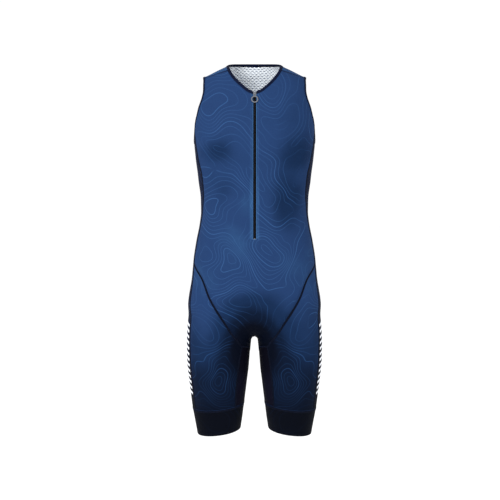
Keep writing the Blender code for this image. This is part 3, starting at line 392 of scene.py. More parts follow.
# %% Lines with even steps, and grids between them
def travelled(line):
    """Distance along a line at each of its points."""
    return np.concatenate([[0], np.cumsum(np.linalg.norm(np.diff(line, axis=0), axis=1))])


def even(points, segments):
    """Points at even steps along a line of close points."""
    travel = travelled(points)
    marks = np.linspace(0, travel[-1], segments + 1)
    return np.stack([np.interp(marks, travel, column) for column in points.T], axis=1)


def run_through(points):
    """A smooth line of close points through a few points."""
    points = np.asarray(points, float)
    travel = travelled(points)
    return smooth_curve(travel, points)(np.linspace(0, travel[-1], CLOSE_POINTS))


def edge_on_body(keys, segments, axis):
    """An edge with even steps, run smoothly through its key points and laid on the body."""
    line = even(run_through(keys), segments)
    return on_body(axis(line), line)


def round_hole(points, width):
    """The ring that lies a width outside a closed edge along the body."""
    along = unit(np.roll(points, -1, axis=0) - np.roll(points, 1, axis=0))
    across = unit(np.cross(outward(points), along))
    away = np.sign(np.einsum("ij,ij->i", across, points - points.mean(axis=0)))
    moved = points + width * away[:, None] * across
    return on_body(trunk_axis(moved), moved)


def rows_between(first, first_axis, last, last_axis, shares):
    """Rows on the body from one edge to another, turning evenly about the line between their axes."""
    radius_a = np.linalg.norm(first - first_axis, axis=1)
    radius_b = np.linalg.norm(last - last_axis, axis=1)
    way_a = (first - first_axis) / radius_a[:, None]
    way_b = (last - last_axis) / radius_b[:, None]
    angle = np.arccos(np.clip(np.einsum("ij,ij->i", way_a, way_b), -1, 1))[:, None, None]
    t = shares[None, :, None]
    way = (np.sin((1 - t) * angle) * way_a[:, None] + np.sin(t * angle) * way_b[:, None]) / np.sin(angle)
    axis = first_axis[:, None] * (1 - t) + last_axis[:, None] * t
    radius = radius_a[:, None, None] * (1 - t) + radius_b[:, None, None] * t
    return axis, axis + way * radius


def filled(first, first_axis, last, last_axis, top, bottom, fade=2):
    """A grid on the body with four given edges; the top row's shape fades out down the rows."""
    axis, grid = rows_between(first, first_axis, last, last_axis, np.linspace(0, 1, len(top)))
    down = np.linspace(0, 1, len(first))[:, None, None]
    from_top, from_bottom = top - grid[0], bottom - grid[-1]
    grid = grid + (1 - down) ** fade * from_top + down**2 * from_bottom
    grid = on_body(axis, grid)
    grid[0], grid[-1], grid[:, 0], grid[:, -1] = top, bottom, first, last
    return grid


MIRROR = np.array([-1, 1, 1])
SIDES = (("left", np.array([1, 1, 1])), ("right", MIRROR))


def mirrored(points):
    """The same points on the other side of the body."""
    return points * MIRROR


def whole_width(half):
    """A half grid, its first column in the middle of the body, with its mirror image before it."""
    return np.concatenate([mirrored(half[:, :0:-1]), half], axis=1)


print("points found along each line:", CLOSE_POINTS)

# %% [markdown]
# ## Edges and seams
#
# A pattern cutter draws the seams on a figure first. Here too each is drawn on the form, from the few
# points of its table: first the edges of the holes for neck and arms, then the long seams, then the rings
# of the leg bands.

# %% Neck and armholes
def neck_edge():
    """The neck opening's edge from the front middle to the back middle, as close points."""
    turns = np.radians(np.linspace(-90, 90, CLOSE_POINTS))
    heights = NECK_HEIGHT(np.degrees(turns))
    aims = points_at(np.cos(turns), np.sin(turns), heights)
    return np.degrees(turns), on_body(points_at(0.0, 0.0, heights), aims)


def split_at_shoulder(turns, points):
    """Even steps from the zip slot to the shoulder seam, and on from there to the back middle."""
    cut = int(np.argmin(np.abs(turns - SHOULDER_SEAM_TURN)))
    return even(beyond_slot(points[: cut + 1]), NECK_FRONT_COLUMNS), even(points[cut:], NECK_BACK_COLUMNS)


def beyond_slot(line):
    """The part of a line that lies beyond the zip slot's edge."""
    first = int(np.argmax(line[:, 0] > ZIP_HALF_SLOT))
    share = (ZIP_HALF_SLOT - line[first - 1, 0]) / (line[first, 0] - line[first - 1, 0])
    start = line[first - 1] * (1 - share) + line[first] * share
    return np.concatenate([start[None], line[first:]])


def arm_edge():
    """The armhole's edge in three stretches: down the front, under the arm, and up the back."""
    ring = [*ARM_FRONT, *ARM_UNDER, *ARM_BACK]
    keys = np.array([(LEG_AXIS_X, p.y, p.z) for p in ring])
    pad = ARM_OVERLAP
    line = np.concatenate([keys[-pad:], keys, keys[: pad + 1]])
    travel = travelled(line)
    at = smooth_curve(travel, line)
    first, second = pad + len(ARM_FRONT) - 1, pad + len(ARM_FRONT) + len(ARM_UNDER)
    cuts = (travel[pad], travel[first], travel[second], travel[pad + len(keys)])
    counts = (ARM_FRONT_ROWS, STRIP_COLUMNS, ARM_BACK_ROWS)
    stretches = []
    for start, end, count in zip(cuts[:-1], cuts[1:], counts):
        aims = even(at(np.linspace(start, end, CLOSE_POINTS)), count)
        stretches.append(on_body(aims, aims + SIDEWAYS))
    return stretches


print("half the neck's edge:", round(travelled(neck_edge()[1])[-1], 3), "m")


# %% Long seams
def strip_edges(heights, front_side):
    """One edge of the side strip at the given heights."""
    reach = -STRIP_FRONT(heights) if front_side else STRIP_BACK(heights)
    start = points_at(LEG_AXIS_X, reach, heights)
    return on_body(start, start + SIDEWAYS)


def hip_seam(start, keys, way):
    """The seam from the hip to the crotch: the key points found from the front or the back."""
    seen = np.array([(p.x, 0.0, p.z) for p in keys])
    found = on_body(seen, seen + way * LENGTHWAYS)
    return edge_on_body(np.concatenate([start[None], found]), HIP_ROWS, thigh_axis)


def hem_drop(points, level):
    """Heights of a ring round the leg that hangs lower on its outer side."""
    return level - HEM_TILT * (points[..., 0] - LEG_AXIS_X)


def inner_edge(corner, way):
    """One edge of the inner thigh panel, from its crotch corner to the cuff seam."""
    heights = np.linspace(corner[2], CUFF_SEAM_Z + HEM_TILT * CUFF_INNER_REACH, CLOSE_POINTS)
    seen = points_at(INNER_X(heights), 0.0, heights)
    line = on_body(seen, seen + way * LENGTHWAYS)
    line[0] = corner
    return even(line, LEG_ROWS)


def ring_part(start, end, segments):
    """Part of the cuff seam round the leg, level apart from its tilt."""
    a, b = (math.atan2(p[1], p[0] - LEG_AXIS_X) for p in (start, end))
    if b < a:
        b += 2 * math.pi
    turns = np.linspace(a, b, CLOSE_POINTS)
    share = np.linspace(0, 1, len(turns))
    level = start[2] + (end[2] - start[2]) * share
    aims = points_at(LEG_AXIS_X + np.cos(turns), np.sin(turns), level)
    for _ in range(CUFF_PASSES):
        found = on_body(thigh_axis(aims), aims)
        target = hem_drop(found, CUFF_SEAM_Z)
        fit = (1 - share) * (start[2] - target[0]) + share * (end[2] - target[-1])
        aims[:, 2] = target + fit
    return even(found, segments)


print("side strip's front edge at the hip:", np.round(strip_edges(np.array([HIP_Z]), True), 4))


# %% All lines of the body together
def make_body_lines():
    """Every seam and edge on the wearer's left half, as rows of shared points."""
    lines = {}
    turns, neck = neck_edge()
    lines["neck_close"] = neck
    hole_front, hole_back = split_at_shoulder(turns, neck)
    seam_front, seam_back = split_at_shoulder(turns, lower_edge(neck))
    lines["neck_hole"] = np.concatenate([hole_front, hole_back[1:]])
    lines["neck_seam"] = np.concatenate([seam_front, seam_back[1:]])
    lines["neck_front"], lines["neck_back"] = seam_front, seam_back[::-1]

    stretches = arm_edge()
    hole = np.concatenate([stretches[0], stretches[1][1:], stretches[2][1:-1]])
    seam = round_hole(hole, ARM_BINDING)
    front_end, back_start = ARM_FRONT_ROWS, ARM_FRONT_ROWS + STRIP_COLUMNS
    lines["arm_hole"], lines["arm_seam"] = hole, seam
    lines["arm_front"] = seam[: front_end + 1]
    lines["arm_under"] = seam[front_end : back_start + 1]
    lines["arm_back"] = np.concatenate([seam[back_start:], seam[:1]])[::-1]

    for name, start, front_side in (("front", seam[front_end], True), ("back", seam[back_start], False)):
        upper = strip_edges(np.linspace(start[2], HIP_Z, CLOSE_POINTS), front_side)
        fade = np.clip(1 - np.linspace(0, 1, CLOSE_POINTS) / ARM_FADE_SHARE, 0, 1)[:, None] ** 2
        upper = upper + fade * (start - upper[0])
        upper = on_body(side_axis(upper), upper)
        upper[0] = start
        lines["side_" + name] = even(upper, SIDE_ROWS)
        end = CUFF_SEAM_Z - HEM_TILT * CUFF_OUTER_REACH
        lower = strip_edges(np.linspace(HIP_Z, end, CLOSE_POINTS), front_side)
        lower[0] = lines["side_" + name][-1]
        lines["thigh_" + name] = even(lower, LEG_ROWS)

    for name, keys, way in (("front", HIP_FRONT, -1.0), ("back", HIP_BACK, 1.0)):
        lines["hip_" + name] = hip_seam(lines["side_" + name][-1], keys, way)
        corner = lines["hip_" + name][-1]
        lines["inner_" + name] = inner_edge(corner, way)
        low = np.array([[0.0, 0.0, CROTCH_EDGE_Z]])
        start = np.array([[LEG_AXIS_X, 0.0, CROTCH_EDGE_Z]])
        middle = on_body(start, low)[0]
        half_way = (corner + middle) / 2
        lines["crotch_" + name] = edge_on_body([corner, half_way, middle], CROTCH_ROWS, inner_axis)
        lines["crotch_" + name][0], lines["crotch_" + name][-1] = corner, middle
    return lines


def lower_edge(neck):
    """The seam under the neck binding, its ends in the middle plane."""
    along = np.gradient(neck, axis=0)
    along[[0, -1], 1:] = 0
    across = unit(np.cross(outward(neck), unit(along)))
    down = np.where(across[:, 2] > 0, -1, 1)
    moved = neck + NECK_BINDING * down[:, None] * across
    found = on_body(trunk_axis(moved), moved)
    found[[0, -1], 0] = 0
    return found


lines = make_body_lines()
print(len(lines), "seams and edges on the left half")


# %% The middle of front and back
def down_middle(way, start_z, end_z):
    """Close points down the middle of the front or back between two heights."""
    level = points_at(0.0, 0.0, np.linspace(start_z, end_z, CLOSE_POINTS))
    return on_body(level, level + way * LENGTHWAYS)


def round_pelvis(way):
    """Close points from the pelvis's height round to the crotch's lowest point in the middle."""
    turns = np.radians(np.linspace(0, 90, CLOSE_POINTS))[1:]
    pivot = np.array([0, 0, PELVIS_AXIS_Z])
    return on_body(pivot, pivot + points_at(0.0, way * np.cos(turns), -np.sin(turns)))


def middle_line(top, way, rows, mark_rows=0, mark_z=None):
    """Even steps down the middle of a trunk panel, with one row at a marked height if there is one."""
    if mark_rows == 0:
        line = np.concatenate([down_middle(way, top[2], PELVIS_AXIS_Z), round_pelvis(way)])
        line[0] = top
        return even(line, rows)
    upper = down_middle(way, top[2], mark_z)
    upper[0] = top
    lower = np.concatenate([down_middle(way, mark_z, PELVIS_AXIS_Z), round_pelvis(way)])
    return np.concatenate([even(upper, mark_rows), even(lower, rows - mark_rows)[1:]])


def beside_middle(middle, widths):
    """The line beside the middle line, at a width for each row."""
    moved = middle + widths[:, None] * SIDEWAYS
    return on_body(trunk_axis(moved), moved)


print("lowest point of the crotch:", np.round(round_pelvis(-1.0)[-1], 4))


# %% The panels' grids
def trunk_half(lines, name, middle, second, top, fade):
    """The half grid of the front or back panel, from the body's middle out to the seams."""
    parts = [lines["arm_" + name], lines["side_" + name], lines["hip_" + name], lines["crotch_" + name]]
    outer = np.concatenate([parts[0], *[p[1:] for p in parts[1:]]])
    bottom_axis, bottom = rows_between(
        second[-1:], trunk_axis(second[-1:]), outer[-1:], trunk_axis(outer[-1:]), np.linspace(0, 1, len(top))
    )
    bottom = on_body(bottom_axis, bottom)[0]
    grid = filled(second, trunk_axis(second), outer, trunk_axis(outer), top, bottom, fade)
    return np.concatenate([middle[:, None], grid], axis=1)


def front_half(lines):
    """The front panel's half grid. Its first column is the middle and its second the zip slot's edge."""
    rows = ARM_FRONT_ROWS + SIDE_ROWS + HIP_ROWS + CROTCH_ROWS
    top = lines["neck_front"][0] * np.array([0, 1, 1])
    middle = middle_line(top, -1.0, rows, ZIP_ROWS, ZIP_END_Z)
    second = beside_middle(middle, np.full(rows + 1, ZIP_HALF_SLOT))
    second[0] = lines["neck_front"][0]
    top_row = np.concatenate([lines["neck_front"], shoulder_seam(lines)[1:]])
    return trunk_half(lines, "front", middle, second, top_row, FRONT_FADE)


def back_half(lines):
    """The back panel's half grid, which reaches over the shoulder to the seam in front."""
    rows = ARM_BACK_ROWS + SIDE_ROWS + HIP_ROWS + CROTCH_ROWS
    top = lines["neck_back"][0]
    middle = middle_line(top, 1.0, rows)
    second = beside_middle(middle, np.linspace(lines["neck_back"][1][0], ZIP_HALF_SLOT, rows + 1))
    second[0] = lines["neck_back"][1]
    top_row = np.concatenate([lines["neck_back"][1:], shoulder_seam(lines)[1:]])
    return trunk_half(lines, "back", middle, second, top_row, BACK_FADE)


def make_cuff_lines(lines):
    """The cuff seam's four stretches, between the feet of the long seams."""
    names = ("thigh_front", "inner_front", "inner_back", "thigh_back")
    outer_front, inner_front, inner_back, outer_back = (lines[name][-1] for name in names)
    lines["cuff_front"] = ring_part(inner_front, outer_front, HIP_ROWS)[::-1]
    lines["cuff_side"] = ring_part(outer_front, outer_back, STRIP_COLUMNS)
    lines["cuff_back"] = ring_part(outer_back, inner_back, HIP_ROWS)
    lines["cuff_inner"] = ring_part(inner_back, inner_front, 2 * CROTCH_ROWS)[::-1]
    pairs = (
        ("cuff_front", outer_front, inner_front),
        ("cuff_side", outer_front, outer_back),
        ("cuff_back", outer_back, inner_back),
        ("cuff_inner", inner_front, inner_back),
    )
    for name, start, end in pairs:
        lines[name][0], lines[name][-1] = start, end


def shoulder_seam(lines):
    """The seam along the front of the shoulder, from the neck to the armhole."""
    start, end = lines["neck_front"][-1], lines["arm_front"][0]
    straight = start + (end - start) * np.linspace(0, 1, SHOULDER_COLUMNS + 1)[:, None]
    seam = on_body(trunk_axis(straight), straight)
    seam[0], seam[-1] = start, end
    return seam


def strip_grid(lines):
    """The side strip from the armhole to the cuff seam, with the cuff seam's part at its foot."""
    front = np.concatenate([lines["side_front"], lines["thigh_front"][1:]])
    back = np.concatenate([lines["side_back"], lines["thigh_back"][1:]])
    shares = np.linspace(0, 1, STRIP_COLUMNS + 1)[None, :, None]
    grid = front[:, None] * (1 - shares) + back[:, None] * shares
    fade = np.clip(1 - np.arange(len(front)) / ARM_FADE_ROWS, 0, 1)[:, None, None] ** 2
    grid = grid + fade * (lines["arm_under"] - grid[0])
    grid = on_body(side_axis(grid), grid)
    grid[0], grid[-1] = lines["arm_under"], lines["cuff_side"]
    grid[:, 0], grid[:, -1] = front, back
    return grid


def thigh_grid(lines, name):
    """A thigh panel: hip seam on top, cuff seam below, side strip outside, inner panel inside."""
    outer, inner = lines["thigh_" + name], lines["inner_" + name]
    hip, cuff_seam = lines["hip_" + name], lines["cuff_" + name]
    return filled(outer, thigh_axis(outer), inner, thigh_axis(inner), hip, cuff_seam)


def inner_grid(lines):
    """The inner thigh panel, from the crotch edge down to the cuff seam."""
    front, back = lines["inner_front"], lines["inner_back"]
    top = np.concatenate([lines["crotch_front"], lines["crotch_back"][-2::-1]])
    return filled(front, inner_axis(front), back, inner_axis(back), top, lines["cuff_inner"])


def cuff_grid(lines):
    """The leg's hem band: the ring of cuff seam points, carried down to the hem."""
    stretches = [lines["cuff_side"], lines["cuff_back"], lines["cuff_inner"][::-1]]
    ring = np.concatenate([*(line[:-1] for line in stretches), lines["cuff_front"][::-1]])
    rows = []
    for share in np.linspace(0, 1, CUFF_ROWS + 1):
        level = ring.copy()
        level[:, 2] = ring[:, 2] * (1 - share) + hem_drop(ring, HEM_Z) * share
        rows.append(level if share == 0 else on_body(thigh_axis(level), level))
    return np.stack(rows)


make_cuff_lines(lines)
front_grid_half, back_grid_half = front_half(lines), back_half(lines)
strip, inner, cuff = strip_grid(lines), inner_grid(lines), cuff_grid(lines)
thighs = {name: thigh_grid(lines, name) for name in ("front", "back")}
print("front", front_grid_half.shape, "back", back_grid_half.shape, "side strip", strip.shape)

# %% [markdown]
# ## Creases
#
# Stretch knit on a filled form has few folds: some pulls under the arms, soft waves at the waist, and
# creases where the thigh meets the trunk. Cloth simulation would give random ones, so each is listed: a
# line of soft dents along the body, uneven in depth, with a low swelling on both sides.

# %% Where the creases lie
Crease = namedtuple("Crease", "x1 z1 x2 z2 facing bow width depth mirror")
CREASES = rows_of(
    Crease,
    (0.128, -0.168, 0.070, -0.214, -1, 0.006, 0.0085, 0.0017, 1),
    (0.136, -0.192, 0.096, -0.250, -1, 0.005, 0.0080, 0.0013, 1),
    (0.118, -0.110, 0.092, -0.150, -1, 0.004, 0.0070, 0.0010, 1),
    (0.030, -0.318, 0.104, -0.292, -1, -0.006, 0.0110, 0.0016, 0),
    (0.044, -0.360, 0.118, -0.344, -1, 0.006, 0.0095, 0.0014, 0),
    (-0.034, -0.336, -0.112, -0.322, -1, 0.005, 0.0100, 0.0013, 0),
    (-0.060, -0.390, -0.126, -0.380, -1, -0.004, 0.0090, 0.0013, 0),
    (0.060, -0.408, 0.128, -0.424, -1, 0.004, 0.0090, 0.0012, 0),
    (0.128, -0.600, 0.078, -0.672, -1, -0.006, 0.0085, 0.0014, 1),
    (0.062, -0.640, 0.028, -0.706, -1, 0.005, 0.0080, 0.0013, 1),
    (0.120, -0.660, 0.060, -0.735, -1, 0.006, 0.0090, 0.0012, 1),
    (0.060, -0.790, 0.100, -0.765, -1, 0.004, 0.0085, 0.0010, 1),
    (0.128, -0.170, 0.072, -0.150, 1, 0.006, 0.0090, 0.0016, 1),
    (0.120, -0.235, 0.056, -0.262, 1, 0.005, 0.0095, 0.0015, 1),
    (0.112, -0.352, 0.026, -0.366, 1, -0.006, 0.0100, 0.0020, 1),
    (0.118, -0.392, 0.034, -0.398, 1, 0.006, 0.0095, 0.0019, 1),
    (0.108, -0.330, 0.052, -0.318, 1, 0.004, 0.0085, 0.0013, 1),
    (0.028, -0.712, 0.110, -0.726, 1, 0.008, 0.0100, 0.0018, 1),
    (0.050, -0.776, 0.124, -0.768, 1, 0.005, 0.0090, 0.0013, 1),
    (0.058, -0.842, 0.118, -0.850, 1, -0.004, 0.0085, 0.0010, 1),
)
SWELLING, SWELLING_REACH = 0.45, 2.1
LEAST_DENTS, DENT_SPACING, DENT_REACH = 6, 0.7, 3.2
RIPPLE, RIPPLE_TURN, RIPPLE_PHASE = 0.0012, 9, 5
UNEVEN, UNEVEN_TURN, PATCHY = 0.35, 6, 0.25
BLUNT_END = 0.8
random = np.random.default_rng(7)
print(len(CREASES), "creases,", sum(c.mirror for c in CREASES), "of them on both sides")


# %% A crease as a row of soft dents
def crease_dents(crease, side):
    """Dents along a bowed line on the body: depth x unevenness x sin(pi t), where t runs along the line."""
    run_x, run_z = crease.x2 - crease.x1, crease.z2 - crease.z1
    count = max(LEAST_DENTS, int(math.hypot(run_x, run_z) / (DENT_SPACING * crease.width)))
    t = np.linspace(0, 1, count)
    bow = crease.bow * np.sin(math.pi * t) + RIPPLE * np.sin(RIPPLE_TURN * t + RIPPLE_PHASE * random.random())
    level = points_at(side * (crease.x1 + run_x * t), 0.0, crease.z1 + run_z * t + bow)
    places = on_body(level, level + crease.facing * LENGTHWAYS)
    step = travelled(places)[-1] / (count - 1)
    wave = UNEVEN * np.sin(UNEVEN_TURN * t + UNEVEN_TURN * random.random())
    uneven = 1 + wave + PATCHY * (random.random(count) - 0.5)
    share = crease.depth * step / (math.sqrt(math.pi) * crease.width)
    return places, share * uneven * np.sin(math.pi * t) ** BLUNT_END, crease.width


def creased(points, normals):
    """Points sunk by each dent d e^(-(r/w)^2), and raised beside it by the same curve made wider."""
    flat, depth = points.reshape(-1, 3), np.zeros(points.reshape(-1, 3).shape[0])
    for places, shares, width in DENTS:
        reach = DENT_REACH * SWELLING_REACH * width
        near = np.all((flat > places.min(0) - reach) & (flat < places.max(0) + reach), axis=1)
        square = ((flat[near][:, None] - places[None]) ** 2).sum(axis=2)
        narrow = np.exp(-square / width**2)
        wide = np.exp(-square / (SWELLING_REACH * width) ** 2)
        depth[near] += (narrow - SWELLING / SWELLING_REACH * wide) @ shares
    return points - depth.reshape(points.shape[:-1])[..., None] * normals


DENTS = [crease_dents(c, side) for c in CREASES for side in ((1, -1) if c.mirror else (1,))]
print(sum(len(places) for places, _, _ in DENTS), "dents in", len(DENTS), "rows")

# %% [markdown]
# ## The print's map
#
# The real cloth is printed before it is cut, with thin lines of equal height over drawn hills. Here the
# map is a height at every point of the form, so lines run on across the seams. Broad waves give the drift
# of the lines, hills give the closed loops, and both are bent by slow sines so that no loop is a plain
# oval. The layout of the hills is this model's own.

# %% Hills and waves
Hill = namedtuple("Hill", "x facing z height reach_x reach_z")
HILLS = rows_of(
    Hill,
    (-0.075, -1, -0.125, 3.4, 0.060, 0.055),
    (0.088, -1, -0.110, 3.0, 0.052, 0.044),
    (-0.022, -1, -0.262, -3.0, 0.055, 0.085),
    (0.092, -1, -0.285, 3.0, 0.048, 0.066),
    (-0.094, -1, -0.365, 2.6, 0.045, 0.058),
    (0.034, -1, -0.468, 4.2, 0.066, 0.052),
    (-0.088, -1, -0.530, -3.2, 0.055, 0.065),
    (0.122, -1, -0.500, -2.4, 0.042, 0.060),
    (-0.010, -1, -0.610, 2.4, 0.080, 0.036),
    (0.080, -1, -0.800, 4.4, 0.040, 0.060),
    (0.128, -1, -0.690, -3.2, 0.036, 0.085),
    (0.060, 1, -0.120, 3.4, 0.055, 0.050),
    (-0.080, 1, -0.200, 3.6, 0.055, 0.065),
    (0.030, 1, -0.300, -3.4, 0.065, 0.055),
    (-0.060, 1, -0.420, 3.4, 0.055, 0.055),
    (0.080, 1, -0.500, 3.8, 0.055, 0.075),
    (-0.070, 1, -0.600, -3.0, 0.060, 0.055),
    (0.090, 1, -0.790, 4.0, 0.045, 0.060),
    (0.050, 1, -0.870, -2.4, 0.040, 0.035),
)
Wave = namedtuple("Wave", "height length_x length_y length_z turn")
WAVES = rows_of(
    Wave,
    (1.15, 0.360, 0.300, 0.270, 0.4),
    (0.80, -0.200, 0.250, 0.330, 2.1),
    (0.40, 0.140, -0.200, 0.130, 4.0),
    (0.16, 0.090, 0.120, -0.080, 1.2),
)
Bend = namedtuple("Bend", "slow_first slow_second turn quick_first quick_second")
X_BEND = Bend(0.23, 0.41, 0.7, 0.085, -0.20)
Z_BEND = Bend(0.25, 0.35, 1.9, 0.09, 0.30)
WARP, QUICK_WARP = 0.018, 0.35
MAP_STEEPNESS = 1.35
LEG_PRINT_Z = -0.620
LEG_PRINT_REACH = 0.130
LEG_FOLD = 0.0003
print(len(HILLS), "hills,", len(WAVES), "waves")


# %% Height and slope of the map
def bent_by(bend, slow_first, slow_second, quick_first, quick_second):
    """A slow sine and a weaker quick one, each with two wavelengths for the two ways it runs."""
    slow = slow_first / bend.slow_first + slow_second / bend.slow_second
    quick = quick_first / bend.quick_first + quick_second / bend.quick_second
    return WARP * (np.sin(math.tau * slow + bend.turn) + QUICK_WARP * np.sin(math.tau * quick))


def drawn_height(x, y, z):
    """Slow waves, and for each hill h e^(-(u/a)^2 - (w/b)^2), where u and w are x and z bent by sines."""
    u, w = x + bent_by(X_BEND, z, x, z, y), z + bent_by(Z_BEND, x, y, x, z)
    height = np.zeros_like(x)
    for v in WAVES:
        passed = u / v.length_x + y / v.length_y + w / v.length_z
        height += v.height * np.sin(math.tau * passed + v.turn)
    for h in HILLS:
        facing = np.clip(0.5 + h.facing * y / FACING_DEPTH, 0, 1)
        hill = np.exp(-(((u - h.x) / h.reach_x) ** 2) - ((w - h.z) / h.reach_z) ** 2)
        height += h.height * facing * hill
    return MAP_STEEPNESS * height


def map_height(points):
    """Height of the map: free on the trunk, and mirrored from leg to leg below it."""
    x, y, z = points.T
    leg = np.clip((LEG_PRINT_Z + LEG_PRINT_REACH / 2 - z) / LEG_PRINT_REACH, 0, 1)
    leg = leg * leg * (3 - 2 * leg)
    return drawn_height(x, y, z) * (1 - leg) + drawn_height(np.sqrt(x * x + LEG_FOLD), y, z) * leg


def map_slope(points, normals):
    """How fast the height changes along the cloth, in steps per metre."""
    steps = np.eye(3) * SLOPE_STEP
    change = [map_height(points + s) - map_height(points - s) for s in steps]
    change = np.stack(change, axis=1) / (2 * SLOPE_STEP)
    along = change - (change * normals).sum(axis=1)[:, None] * normals
    return np.linalg.norm(along, axis=1)


print("map height on the chest:", np.round(map_height(np.array([[0.0, -0.11, -0.2]])), 2))

# %% [markdown]
# ## The dye and the painted shading
#
# Over the whole suit runs a fade, printed with the lines: blue on the chest, darker down the legs, smoky
# at the crotch. Painted shading lies over it: the smoke at the crotch is partly painted shade between the
# legs, a few soft patches are painted shade and two on the outer thighs painted light, and painted
# highlights make the back panel a little lighter where it comes over the shoulder and catches the light,
# and the cloth beside the zip lighter too. It is one value from 0 to 1 at each point, so a material can
# turn it into colour by a ramp.

# %% How dark the dye and the painted shading are
Patch = namedtuple("Patch", "x z share reach_x reach_z")
# Soft patches of painted shade under the chest, at the waist, one high on the chest and one low on the belly;
# the two with a negative share are painted light on the outer thighs.
SHADE_AND_LIGHT_PATCHES = rows_of(
    Patch,
    (-0.095, -0.218, 0.24, 0.040, 0.028),
    (0.104, -0.222, 0.28, 0.040, 0.040),
    (0.086, -0.345, 0.36, 0.044, 0.072),
    (-0.080, -0.320, 0.13, 0.036, 0.060),
    (0.100, -0.130, 0.06, 0.050, 0.070),
    (0.000, -0.600, 0.10, 0.060, 0.040),
    (-0.128, -0.690, -0.13, 0.036, 0.090),
    (0.128, -0.690, -0.08, 0.036, 0.090),
)
# Amounts: the crotch's smoke is partly print and partly painted shade; the zip and shoulder amounts are
# painted highlights.
PLAIN_DYE, LEG_DYE, SMOKE_AND_SHADE_AMOUNT, CHEST_DYE, ZIP_PAINTED_HIGHLIGHT, SHOULDER_PAINTED_HIGHLIGHT = 0.17, 0.76, 0.74, 0.07, 0.12, 0.12
FADE_TOP_Z, FADE_LENGTH = -0.560, 0.33
SMOKE_AND_SHADE_Z, SMOKE_AND_SHADE_WIDTH, SMOKE_AND_SHADE_UP, SMOKE_AND_SHADE_DOWN = -0.718, 0.070, 0.104, 0.070
CHEST_FOOT_Z, CHEST_RISE = -0.330, 0.100
SHOULDER_IN_X, SHOULDER_IN_Y, SHOULDER_SLOPE = 0.068, -0.041, 0.382
SHOULDER_EDGE, SHOULDER_REACH, SHOULDER_FOOT_Z = 0.002, 0.035, -0.060
ZIP_HIGHLIGHT_X, ZIP_HIGHLIGHT_REACH = 0.0075, 0.0040


def dye_and_painted_shading(points):
    """From 0, a lighter blue, to 1, nearly black: a plain share, the legs' printed fade, the crotch's smoke
    of print and painted shade, the chest, and soft patches of painted shade and light, less the painted
    highlights beside the zip and behind the shoulder seams."""
    x, y, z = points.T
    front = np.clip(0.5 - y / FACING_DEPTH, 0, 1)
    down = np.clip((FADE_TOP_Z - z) / FADE_LENGTH, 0, 1)
    high, low = np.maximum(z - SMOKE_AND_SHADE_Z, 0) / SMOKE_AND_SHADE_UP, np.minimum(z - SMOKE_AND_SHADE_Z, 0) / SMOKE_AND_SHADE_DOWN
    # The crotch's smoke: partly printed, partly painted shade between the legs.
    smoke_and_shade = np.exp(-((x / SMOKE_AND_SHADE_WIDTH) ** 2) - high**2 - low**2)
    chest = np.clip((z - CHEST_FOOT_Z) / CHEST_RISE, 0, 1) * front
    # Painted highlight on the back panel where it comes over the shoulder.
    behind = y - SHOULDER_SLOPE * (np.abs(x) - SHOULDER_IN_X) - SHOULDER_IN_Y
    shoulder_highlight = np.clip(behind / SHOULDER_EDGE, 0, 1) * np.exp(-((behind / SHOULDER_REACH) ** 2))
    shoulder_highlight = shoulder_highlight * (z > SHOULDER_FOOT_Z)
    # Soft patches of painted shade, and painted light where the share is negative.
    patch_shading = sum(
        p.share * np.exp(-(((x - p.x) / p.reach_x) ** 2) - ((z - p.z) / p.reach_z) ** 2) for p in SHADE_AND_LIGHT_PATCHES
    )
    # Painted highlight on the cloth beside the zip, above the zip's end.
    zip_highlight = np.exp(-(((np.abs(x) - ZIP_HIGHLIGHT_X) / ZIP_HIGHLIGHT_REACH) ** 2)) * front * (z > ZIP_END_Z)
    dark = PLAIN_DYE + LEG_DYE * down + SMOKE_AND_SHADE_AMOUNT * smoke_and_shade + CHEST_DYE * chest + patch_shading
    return np.clip(dark - ZIP_PAINTED_HIGHLIGHT * zip_highlight - SHOULDER_PAINTED_HIGHLIGHT * shoulder_highlight, 0, 1)


print("dye at neck and hem:", np.round(dye_and_painted_shading(np.array([[0.05, -0.1, -0.1], [0.1, -0.07, -0.9]])), 2))

# %% [markdown]
# ## From a grid to a piece of cloth
#
# A cut piece of knit is one sheet with a printed face and a plain reverse. Here it is a grid of points,
# its outer face, with a second face a cloth's thickness inside and a rim between them. Whole arrays go
# into the mesh at once, and each point keeps three values for the print and its painted shading: the
# height of the drawn map there, how fast it changes, and how dark the dye and the painted shading are.


# %% Quads into a mesh, and a grid's edge and measures
def quad_mesh(name, points, quads, materials, uv=None, values=None, inside=None):
    """An object from an array of points and an array of quads, smooth, with a UV map and point values."""
    mesh = bpy.data.meshes.new(name)
    mesh.vertices.add(len(points))
    mesh.vertices.foreach_set("co", np.ascontiguousarray(points, np.float32).ravel())
    mesh.loops.add(quads.size)
    mesh.loops.foreach_set("vertex_index", quads.astype(np.int32).ravel())
    mesh.polygons.add(len(quads))
    mesh.polygons.foreach_set("loop_start", np.arange(0, quads.size, 4, dtype=np.int32))
    mesh.update(calc_edges=True)
    mesh.validate()
    for made in materials:
        mesh.materials.append(made)
    if inside is not None:
        mesh.polygons.foreach_set("material_index", inside.astype(np.int32))
    if uv is not None:
        layer = mesh.uv_layers.new(name="cloth")
        layer.data.foreach_set("uv", uv.astype(np.float32).ravel())
    for key, value in (values or {}).items():
        attribute = mesh.attributes.new(key, "FLOAT", "POINT")
        attribute.data.foreach_set("value", value.astype(np.float32))
    mesh.shade_smooth()
    mesh.update()
    return linked(bpy.data.objects.new(name, mesh))


def linked(made):
    """The object, put into the scene."""
    bpy.context.scene.collection.objects.link(made)
    return made


